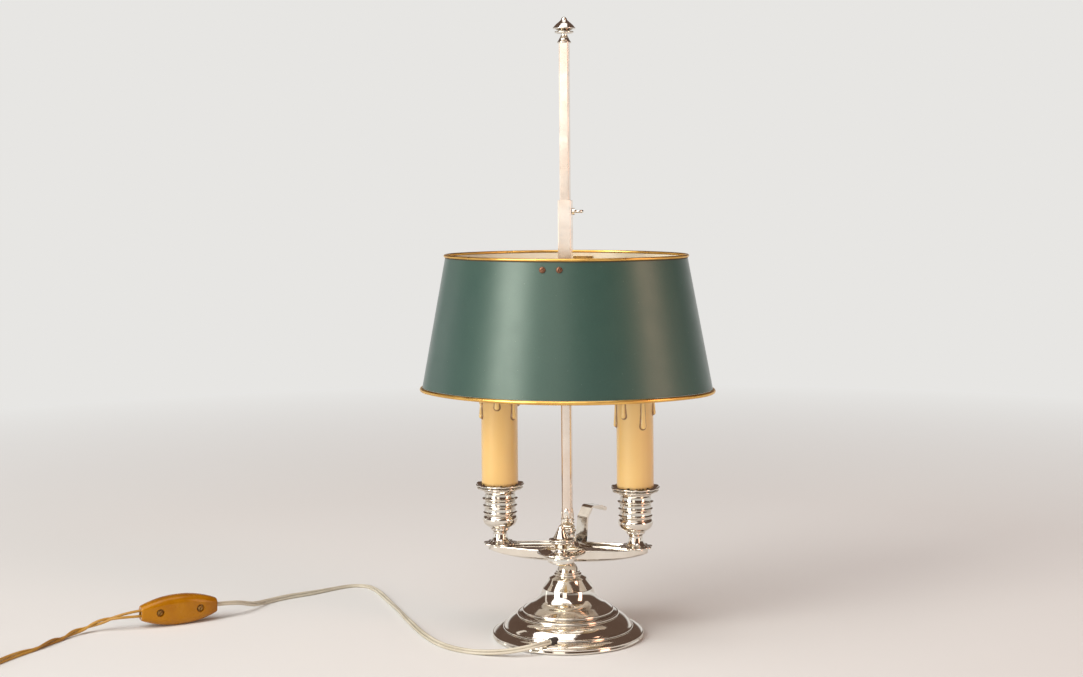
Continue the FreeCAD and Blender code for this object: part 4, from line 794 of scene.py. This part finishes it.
def wavyLip(count, depth, fromRadius, reach):
    def ripple(radius, height, angle):
        share = clamp((radius - fromRadius) / reach)
        wave = math.sin(count * angle + 1.5 * math.sin(angle * 3.0))
        lift = 0.6 * depth * share * math.sin(count * angle + 0.8)
        return radius + depth * share * (0.5 * wave - 0.5), height + lift
    return ripple


def makeHolder(word, at, facts):
    z = facts["deck"]
    silverTurned(word + "NozzleFoot", word + "_nozzle_foot", [
        (5.0, z), (14.4, z), ((15.2, z + 0.8), (14.2, z + 1.5)), ((9.0, z + 3.0), (6.3, z + 8.2)),
        ((6.1, z + 10.4), (7.8, z + 12.4)), ((8.8, z + 13.7), (8.0, z + 15.0)), (5.0, z + 15.0)],
        at=at, ripple=scallop(9, 2.0, 6.5, 7.0))
    z = facts["pan"]
    silverTurned(word + "NozzleCup", word + "_nozzle_cup", cupRings(facts["cup"], z), at=at, turns=112, steps=7)
    silverTurned(word + "DripPan", word + "_drip_pan", [
        (5.0, z), (16.2, z), ((18.4, z + 0.5), (20.2, z + 1.5)), ((20.9, z + 2.0), (20.3, z + 2.6)), (19.4, z + 3.1),
        (21.2, z + 4.0), ((21.9, z + 4.7), (21.2, z + 5.5)), ((19.4, z + 4.0), (17.6, z + 2.6)), (14.0, z + 1.3),
        (5.0, z + 1.3)], at=at, turns=160, ripple=wavyLip(13, 0.4, 18.0, 3.0))


def dripShape(facts, side, angle, drop):  # how far the drip stands out, its outline of painted shade and its body
    collarEnd = 4.0 + 1.6 * noise.noise(Vector((math.cos(angle) * 2.2, math.sin(angle) * 2.2, side * 3.0)))
    body = (collarEnd - drop) / 2.4
    out = clamp(body) ** 0.5
    for place, length, half in facts["drips"][side]:
        away = (angle - math.radians(place) + math.pi) % (2 * math.pi) - math.pi
        grown = clamp(drop / length)
        across = away * facts["radius"] / (half * (0.58 + 0.42 * grown ** 3))
        along = max(0.0, (drop - (length - half)) / half)
        inside = 1.0 - across**2 - along**2
        if inside > 0:
            out = max(out, (1.3 + 1.5 * grown ** 2) * inside**0.42)
        body = max(body, inside)
    # the outline band is painted shade around each drip's edge
    edge = min(1.0, 1.4 * max(0.0, 1.0 - abs(body + 0.2) / 0.65))
    return out, edge, clamp(body * 1.6)


def makeSleeve(word, side, at, facts):
    radius, top, bottom = facts["radius"], facts["top"], facts["bottom"]
    reach, uneven = facts["jag"]
    turns = circle(facts["around"])
    lows = [bottom - reach + uneven * abs(noise.noise(Vector((math.cos(t) * 4.5, math.sin(t) * 4.5, side * 5.0))))
            for t in turns]
    rings = []
    for i in range(facts["rows"] + 1):
        ring = []
        for low, angle in zip(lows, turns):
            z = low + (top - 0.4 - low) * i / facts["rows"]
            wobble = 0.12 * noise.noise(Vector((math.cos(angle), math.sin(angle), z * 0.02 + side)))
            r = radius - 0.15 + wobble + dripShape(facts, side, angle, top - z)[0]
            ring.append((at[0] + r * math.cos(angle), r * math.sin(angle), z))
        rings.append(ring)
    inner = radius - facts["wall"]
    for r, z in ((radius + 0.3, top - 0.05), (inner + 0.4, top), (inner, top - 0.4), (inner, bottom - 1.0)):
        rings.append([(at[0] + r * math.cos(angle), r * math.sin(angle), z) for angle in turns])
    sleeve = makeObject(word + "CandleSleeve", *loftRings(rings), finish["candle"], sharp=60.0)
    waxAndShade = sleeve.data.color_attributes.new("waxAndShade", "FLOAT_COLOR", "POINT")
    for vertex, paintSpot in zip(sleeve.data.vertices, waxAndShade.data):
        x, y, z = vertex.co / mm
        out, edge, body = dripShape(facts, side, math.atan2(y, x - at[0]), top - z)
        if z < bottom - 1.2:  # darker along the lower edge, where it reaches down into the pan
            edge = max(edge, 0.45)
        paintSpot.color = (edge, body, 0.0, 1.0)
    standFor(sleeve, "candle_resin", word + "_candle_sleeve")


# brass cap with a screw thread, and a glass flame with its filament on a support
bulbFacts = {
    "cap": 195.8,
    "thread": (5, 6.2, 3.2),  # turns, height of the first, from one to the next
    "glass": 221.8,
    "tall": 72.0,
    "filament": (5.0, 38.0, 90),  # half width, height in the glass, points
    "wire": 0.18,
}


def makeBulb(word, at, facts):
    z = facts["cap"]
    outline = [(0.0, z), (4.5, z), (6.0, z + 2.5), (11.6, z + 5.0)]
    count, lift, pitch = facts["thread"]
    for i in range(count):
        level = z + lift + i * pitch
        outline += [(12.4, level), ((13.2, level + 1.1), (12.4, level + 2.2))]
    outline += [(13.0, z + 25.0), (13.0, z + 26.0), (0.0, z + 26.0)]
    cap = lathe(word + "BulbCap", outline, finish["brass"], at=at, turns=80, steps=6)
    standFor(cap, "brass", word + "_bulb_cap")
    z = facts["glass"]
    top = z + facts["tall"]
    glass = lathe(word + "BulbGlass", [
        (0.0, z), (12.8, z), ((15.9, z + 13.0), (17.5, z + 27.0)), ((13.1, z + 49.0), (3.0, top - 3.0))]
        + dome(3.0, top)[1:]
        + [(0.0, top - 0.8), (2.4, top - 3.2), ((12.4, z + 48.6), (16.8, z + 27.0)),
           ((15.2, z + 13.2), (12.0, z + 0.8)), (0.0, z + 0.8)],
        finish["glass"], at=at, turns=96, steps=20, soft=0.0)
    standFor(glass, "bulb_glass", word + "_bulb_glass")
    stem = lathe(word + "BulbStem", [
        (0.0, z + 1.0), (5.0, z + 1.0), ((3.0, z + 8.0), (1.6, z + 20.0)), (1.6, z + 26.0), (0.0, z + 26.6)],
        finish["glass"], at=at, turns=32)
    half, lift, count = facts["filament"]
    coil = [Vector((-1.2, 0.0, 22.0)), Vector((-half, 0.0, lift))]
    for i in range(count):
        share = i / (count - 1)
        coil.append(Vector((half * (2 * share - 1), 0.5 * math.cos(i * 1.1),
                            lift + 3.0 * math.sin(math.pi * share) + 0.5 * math.sin(i * 1.1))))
    coil += [Vector((half, 0.0, lift)), Vector((1.2, 0.0, 22.0))]
    rings = []
    for i, spot in enumerate(coil):
        ahead = (coil[min(i + 1, len(coil) - 1)] - coil[max(i - 1, 0)]).normalized()
        one = ahead.orthogonal().normalized()
        two = ahead.cross(one)
        middle = spot + Vector((at[0], 0.0, z))
        rings.append([middle + (one * math.cos(angle) + two * math.sin(angle)) * facts["wire"]
                      for angle in circle(6)])
    wire = makeObject(word + "BulbFilament", *loftRings(rings, "open"), finish["steel"], sharp=None)


for side, word in ((-1, "left"), (1, "right")):
    middle = (candleFacts["span"] * side, 0.0)
    makeHolder(word, middle, candleFacts)
    makeSleeve(word, side, middle, candleFacts)
    makeBulb(word, middle, bulbFacts)
print("candle lights made")

# shade: green outside, cream inside, gilt rims
shadeFacts = {
    "bottom": 220.5,
    "top": 336.5,
    "bottomHalf": (130.0, 91.0),
    "topHalf": (108.6, 76.0),
    "wall": 0.8,
    "rims": {"Top": 1.3, "Bottom": 1.8},
    "rimSides": 14,
    "rows": 26,
    "tip": 0.62,  # radius of the oval's ends, as a share of its short half
    "tipSteps": 24,
    "sideSteps": 30,
}


def ovalLine(long, short, facts):  # four centred oval, points with the angle of their outward normals
    tip = facts["tip"] * short
    centre = long - tip
    side = (centre**2 + short**2 - tip**2) / (2 * (short - tip))
    meet = math.atan2(side - short, centre)
    quarter = []
    for k in range(facts["tipSteps"]):
        angle = meet * k / facts["tipSteps"]
        quarter.append((centre + tip * math.cos(angle), tip * math.sin(angle), angle))
    for k in range(facts["sideSteps"] + 1):
        angle = meet + (math.pi / 2 - meet) * k / facts["sideSteps"]
        quarter.append((side * math.cos(angle), short - side + side * math.sin(angle), angle))
    half = quarter + [(-x, y, math.pi - angle) for x, y, angle in quarter[:-1][::-1]]
    return half + [(x, -y, -angle) for x, y, angle in half[1:-1][::-1]]


def makeShade(facts):
    bottom, top, wall = facts["bottom"], facts["top"], facts["wall"]

    def ring(z, inset):
        share = (z - bottom) / (top - bottom)
        long, short = (low + (high - low) * share - inset
                       for low, high in zip(facts["bottomHalf"], facts["topHalf"]))
        return [(x, y, z) for x, y, angle in ovalLine(long, short, facts)]

    levels = [bottom + (top - 0.8 - bottom) * i / facts["rows"] for i in range(facts["rows"] + 1)] + [top]
    rings = [ring(z, 0.0) for z in levels] + [ring(z, wall) for z in reversed(levels)]
    shade = makeObject("shadeShell", *loftRings(rings), finish["lacquer"], "shade_carriage")
    shade.data.materials.append(finish["cream"])
    shade.data.materials.append(finish["rimShadow"])
    for face in shade.data.polygons:
        middle = face.center
        if face.normal.dot(Vector((middle.x * 0.6, middle.y, 0.0))) < 0:
            face.material_index = 1  # inside
        elif middle.z > (top - 0.9) * mm:
            face.material_index = 2  # dark line under the gilt rim
    standFor(shade, "green_lacquer", "shade_body")
    for word, radius in facts["rims"].items():
        z = top + radius if word == "Top" else bottom - radius
        grow = radius - wall * 1.5
        line = ovalLine(*(half + grow for half in facts[word.lower() + "Half"]), facts)
        rings = []
        for turn in circle(facts["rimSides"]):
            out = radius * math.cos(turn)
            rings.append([(x + out * math.cos(angle), y + out * math.sin(angle), z + radius * math.sin(turn))
                          for x, y, angle in line])
        rim = makeObject("shade" + word + "Rim", *loftRings(rings), finish["gilt"], "shade_carriage", sharp=None)
        standFor(rim, "gilt_brass", "shade_" + word.lower() + "_rim")


makeShade(shadeFacts)
print("shade made")

# socket that holds the rod, with a rounded tongue on each face
socketFacts = {
    "rows": [(95.3, 5.5), (96.2, 6.1), (97.1, 5.4), (98.3, 4.9), (99.6, 5.6), (100.9, 4.9), (102.2, 5.5),
             (103.5, 4.9), (104.6, 5.3), (105.4, 4.5)],  # height and half width
    "corner": 1.5,
    "rod": 4.3,
    "tongue": (2.9, 1.1, 8.6),  # half width, how far it stands out, height
    "tongueFoot": 105.0,
    "tongueGrid": (14, 10),
}


def makeSocket(facts):
    corner = facts["corner"]
    rings = []
    for height, half in facts["rows"]:
        ring = []
        for middle in (45, 135, 225, 315):
            cx = math.copysign(half - corner, math.cos(math.radians(middle)))
            cy = math.copysign(half - corner, math.sin(math.radians(middle)))
            for turn in (-22.5, 0.0, 22.5):
                angle = math.radians(middle + turn)
                ring.append((cx + corner * math.cos(angle), cy + corner * math.sin(angle), height))
        rings.append(ring)
    rod = [(math.copysign(facts["rod"], spot[0]), math.copysign(facts["rod"], spot[1])) for spot in rings[0]]
    for height, half in (facts["rows"][-1], facts["rows"][0]):  # down again along the rod
        rings.append([(x, y, height) for x, y in rod])
    socket = makeObject("rodSocket", *loftRings(rings), finish["silver"], sharp=50.0)
    standFor(socket, "silver_plate", "rod_foot")
    half, out, tall = facts["tongue"]
    columns, rows = facts["tongueGrid"]
    verts, faces = [], []
    for face in range(4):
        spin = Matrix.Rotation(math.pi / 2 * face, 3, "Z")
        start = len(verts)
        for i in range(rows + 1):
            across = i / rows * math.pi / 2
            reach = math.cos(across)
            for k in range(columns + 1):
                angle = math.pi * k / columns
                x = half * reach * math.cos(angle)
                z = facts["tongueFoot"] + tall * reach * math.sin(angle) ** 0.8
                verts.append(spin @ Vector((x, -facts["rod"] - 0.05 - out * math.sin(across) ** 0.7, z)))
        for i in range(rows):
            for k in range(columns):
                a = start + i * (columns + 1) + k
                faces.append((a, a + 1, a + columns + 2, a + columns + 1))
    tongues = makeObject("rodTongues", verts, faces, finish["silver"], sharp=None)
    standFor(tongues, "silver_plate", "rod_foot")


makeSocket(socketFacts)

# switch on the cord
switchFacts = {
    "centre": (-361.0, -9.0, 13.5),
    "turned": 37.0,
    "half": 34.5,
    "tall": (13.5, 6.6),  # half height at the middle and the ends
    "thick": (9.0, 6.0),
    "section": [(-9.0, -9.0), (-9.0, 8.6), (-5.2, 13.2), (-0.35, 13.5), (0.0, 13.1), (0.35, 13.5), (5.2, 13.2),
                (9.0, 8.6), (9.0, -9.0), (5.2, -13.2), (0.35, -13.5), (0.0, -13.1), (-0.35, -13.5), (-5.2, -13.2)],
    "steps": 40,
    "window": ((-8.4, 2.5, -4.1), (8.4, 12.0, 4.1)),
    "mouths": (((-36.0, -3.4, -1.9), (-31.0, 3.4, 1.9)), ((31.0, -3.4, -1.9), (36.0, 3.4, 1.9))),  # for the cords
    "screws": (-18.5, 18.5),
    "slots": (48.0, 62.0),
    "well": (3.6, -6.2),  # radius, and how deep the screws sit
    "screw": (2.75, 1.5),  # radius and height
}


def screwHead(name, radius, tall, slotTurn, spot, facing, material, body="lamp"):
    outline = [(0.0, 0.0), (radius, 0.0), (radius, tall * 0.45), ((radius * 0.72, tall * 0.86), (0.0, tall))]
    head = lathe(name, outline, material, turns=40, soft=0.15, body=body)
    slot = makeBox((-radius * 1.2, -0.5, tall * 0.25), (radius * 1.2, 0.5, tall * 1.5), material)
    slot.data.transform(Matrix.Rotation(math.radians(slotTurn), 4, "Z"))
    cutWith(head, [slot])
    head.data.transform(Matrix.Translation(Vector(spot) * mm) @ facing)
    return head


def makeSwitch(facts):
    spin = Matrix.Rotation(math.radians(facts["turned"]), 4, "Z")
    place = Matrix.Translation(Vector(facts["centre"]) * mm) @ spin
    (tall, endTall), (thick, endThick) = facts["tall"], facts["thick"]
    offAxis = 100.0  # drawOutline leaves the corners on the axis alone, so the section is drawn beside it
    rounded = drawOutline([(x + offAxis, y) for x, y in facts["section"]], soft=2.2)
    rings = []
    for i in range(facts["steps"] + 1):
        share = -1 + 2 * i / facts["steps"]
        narrow = abs(share) ** 2.1
        y1 = (thick - (thick - endThick) * narrow) / thick
        z1 = (tall - (tall - endTall) * narrow) / tall
        rings.append([(share * facts["half"], (y - offAxis) * y1, z * z1) for y, z in rounded])
    first, last = ([(math.copysign(facts["half"] + 0.5, x), y * 0.93, z * 0.93) for x, y, z in ring]
                   for ring in (rings[0], rings[-1]))
    body = makeObject("switchBody", *loftRings([first] + rings + [last], "capped"), finish["amber"], sharp=50.0)
    wellRadius, seat = facts["well"]
    tools = [makeBox(*facts["window"], finish["amber"])]
    tools += [makeRod(wellRadius, (x, -12.0, 0.0), (x, seat, 0.0), finish["amber"]) for x in facts["screws"]]
    tools += [makeBox(*mouth, finish["amber"]) for mouth in facts["mouths"]]
    cutWith(body, tools)
    body.data.transform(place)
    pieces = [standFor(body, "amber_resin", "switch_front_shell", "switch_back_shell")]
    facing = Matrix.Rotation(math.radians(90), 4, "X")
    for index, x in enumerate(facts["screws"]):
        head = screwHead("switchScrew" + str(index + 1), *facts["screw"], facts["slots"][index], (x, seat, 0.0),
                         facing, finish["screwHead"])
        head.data.transform(place)
        pieces.append(standFor(head, "steel", "switch_screws"))
    return pieces


switchPieces = makeSwitch(switchFacts)

# slotted screws that hold the shade to its bracket
shadeScrewFacts = {
    "across": 7.3,
    "height": 329.5,
    "screw": (2.7, 1.1),  # radius and height
    "slots": {-1: (20.0, 75.0), 1: (110.0, 35.0)},
    "slope": (15.0, 116.0),  # the wall's run and rise
}


def makeShadeScrews(facts):
    lowest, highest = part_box("shade_screws")
    tilt = math.atan2(*facts["slope"])
    tall = facts["screw"][1]
    for side, letter, edge in ((-1, "F", lowest[1] / mm), (1, "B", highest[1] / mm)):
        facing = Matrix.Rotation(-side * (math.radians(90) - tilt), 4, "X")
        for index, x in enumerate((-facts["across"], facts["across"])):
            head = screwHead("shadeScrew" + letter + str(index + 1), *facts["screw"], facts["slots"][side][index],
                             (x, edge - side * tall, facts["height"]), facing, finish["copper"], "shade_carriage")
            standFor(head, "copper", "shade_screws")


makeShadeScrews(shadeScrewFacts)

# flat round key of the lock screw
keyFacts = {
    "rods": {"lockNeck": (6.3, 8.5, 3.0), "lockStalk": (8.0, 12.0, 1.2)},  # from, to, radius
    "centre": (12.5, 377.0),
    "radius": 4.0,
    "thickness": 2.6,
    "sides": 64,
    "rows": ((-1.0, 0.74), (-0.92, 0.88), (-0.6, 0.975), (0.0, 1.0), (0.6, 0.975), (0.92, 0.88), (1.0, 0.74)),
}


def makeLockKey(facts):
    x, z = facts["centre"]
    pieces = [makeRod(radius, (start, 0, z), (end, 0, z), finish["silver"], name)
              for name, (start, end, radius) in facts["rods"].items()]
    rings = []
    for level, size in facts["rows"]:
        reach, height = facts["radius"] * size, z + facts["thickness"] / 2 * level
        rings.append([(x + reach * math.cos(angle), reach * math.sin(angle), height)
                      for angle in circle(facts["sides"])])
    pieces.append(makeObject("lockKey", *loftRings(rings, "capped"), finish["silver"], body=None, sharp=60.0))
    for piece in pieces:
        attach(piece, "lock")
        standFor(piece, "silver_plate", "lock_screw")


makeLockKey(keyFacts)
print("switch and screws made")

# finishes of the CAD nodes that keep their own shape
keptFinishes = {
    "rodSilver": ["square_rod", "shade_sleeve"],
    "silver": ["thumb_handle"],
    "brass": ["shade_spider", "threaded_tube", "left_nipple", "right_nipple", "left_locknut", "right_locknut",
              "base_nut", "button_screw", "shade_nuts", "switch_contacts"],
    "steel": ["base_washer", "bottom_plate", "rocker_pin", "plug_pins"],
    "iron": ["base_weight"],
    "felt": ["felt_pad"],
    "holder": ["left_lampholder", "right_lampholder", "terminal_block", "cord_grommet"],
    "ivoryFlex": ["cord_tail"],
    "goldFlex": ["lamp_wires"],
    "amber": ["plug_body"],
    "darkResin": ["switch_rocker"],
}
for key, names in keptFinishes.items():
    for name in names:
        nodes[name].data.materials.clear()
        nodes[name].data.materials.append(finish[key])
print("kept nodes finished")


# floor and light
studioFacts = {
    "floor": (0.77, 0.77, 0.765),
    "floorCloud": (0.76, 0.76, 0.75),
    "floorHalf": 9000.0,
    "horizon": (0.80, 0.79, 0.77),
    "above": (0.13, 0.085, 0.065),
    "rise": (0.105, 0.20),  # the background goes from the one to the other between these heights
    "sun": 1.6,
    "sunSoft": 60.0,
    "sunTurn": (28.0, -18.0, 0.0),
    "near": 0.7,  # inside this distance the floor is lit only by the lamps
    "far": 1.8,
    # name, azimuth from the camera, distance, height, width, tall, watts, colour
    "banks": [
        ("leftBank", -50.0, 2.4, 1.15, 1.0, 2.0, 46.0, (1.0, 0.99, 0.92)),
        ("rightBank", 57.0, 2.4, 1.05, 0.67, 1.8, 16.0, (1.0, 0.60, 0.44)),
        ("sideBank", -109.0, 2.5, 1.0, 0.30, 2.2, 1.8, (1.0, 0.97, 0.90)),
        ("frontBank", -14.0, 2.8, 1.0, 0.9, 1.1, 5.0, (1.0, 0.92, 0.82)),
        ("topBank", 0.0, 0.1, 2.3, 1.2, 1.2, 7.0, (1.0, 0.97, 0.93)),
    ],
    "aim": (0.0, 0.0, 0.2),
}


def makeFloor(facts):
    material, tree, shader = newMaterial("paleFloor", facts["floor"], 0.75)
    cloud = useGroup(tree, "mottle", Scale=3.0, Detail=4.0, Low=0.0, High=0.25)
    tree.links.new(mixColours(tree, cloud, facts["floor"], facts["floorCloud"]), shader.inputs["Base Color"])
    # far from the lamp the floor meets the background at one even tone
    place = addNode(tree, "TexCoord").outputs["Object"]
    distance = addNode(tree, "VectorMath", {0: place}, operation="LENGTH").outputs["Value"]
    rays = addNode(tree, "LightPath").outputs
    seen = rays["Is Camera Ray"]
    for label in ("Is Glossy Ray", "Is Transmission Ray"):
        seen = addNode(tree, "Math", {0: seen, 1: rays[label]}, operation="MAXIMUM").outputs[0]
    far = mapRange(tree, distance, facts["near"], facts["far"])
    seen = addNode(tree, "Math", {0: seen, 1: far}, operation="MULTIPLY").outputs[0]
    glow = addNode(tree, "Emission", {"Color": (*facts["horizon"], 1.0)})
    blend = addNode(tree, "MixShader", {0: seen, 1: shader.outputs[0], 2: glow.outputs[0]})
    tree.links.new(blend.outputs[0], tree.nodes["Material Output"].inputs["Surface"])
    half = facts["floorHalf"]
    floor = makeObject("floor", [(-half, -half, 0), (half, -half, 0), (half, half, 0), (-half, half, 0)],
                       [(0, 1, 2, 3)], material, body=None)


def addLight(name, kind, energy):
    light = bpy.data.lights.new(name, kind)
    light.energy = energy
    thing = bpy.data.objects.new(name, light)
    bpy.context.scene.collection.objects.link(thing)
    return light, thing


def makeLights(facts):
    sun, thing = addLight("softSun", "SUN", facts["sun"])
    sun.angle = math.radians(facts["sunSoft"])
    thing.rotation_euler = [math.radians(turn) for turn in facts["sunTurn"]]
    for name, azimuth, distance, height, width, tall, watts, colour in facts["banks"]:
        light, thing = addLight(name, "AREA", watts)
        light.shape = "RECTANGLE"
        light.size, light.size_y = width, tall
        light.color = colour
        angle = math.radians(-90.0 + cameraFacts["turn"] + azimuth)
        thing.location = (distance * math.cos(angle), distance * math.sin(angle), height)
        aim = Vector(facts["aim"]) - thing.location
        thing.rotation_euler = aim.to_track_quat("-Z", "Y").to_euler()


def makeWorld(facts):  # pale near the horizon, dark warm brown above
    world = bpy.data.worlds.new("studio")
    bpy.context.scene.world = world
    world.use_nodes = True
    tree = world.node_tree
    background = tree.nodes["Background"]
    place = addNode(tree, "TexCoord").outputs["Generated"]
    height = addNode(tree, "SeparateXYZ", {"Vector": place}).outputs["Z"]
    ramp = addNode(tree, "ValToRGB", {"Fac": height})
    for element, position, key in zip(ramp.color_ramp.elements, facts["rise"], ("horizon", "above")):
        element.position = position
        element.color = (*facts[key], 1.0)
    tree.links.new(ramp.outputs["Color"], background.inputs["Color"])
    background.inputs["Strength"].default_value = 1.0


makeFloor(studioFacts)
makeLights(studioFacts)
makeWorld(studioFacts)
bpy.context.scene.view_settings.view_transform = "Standard"
print("studio made")
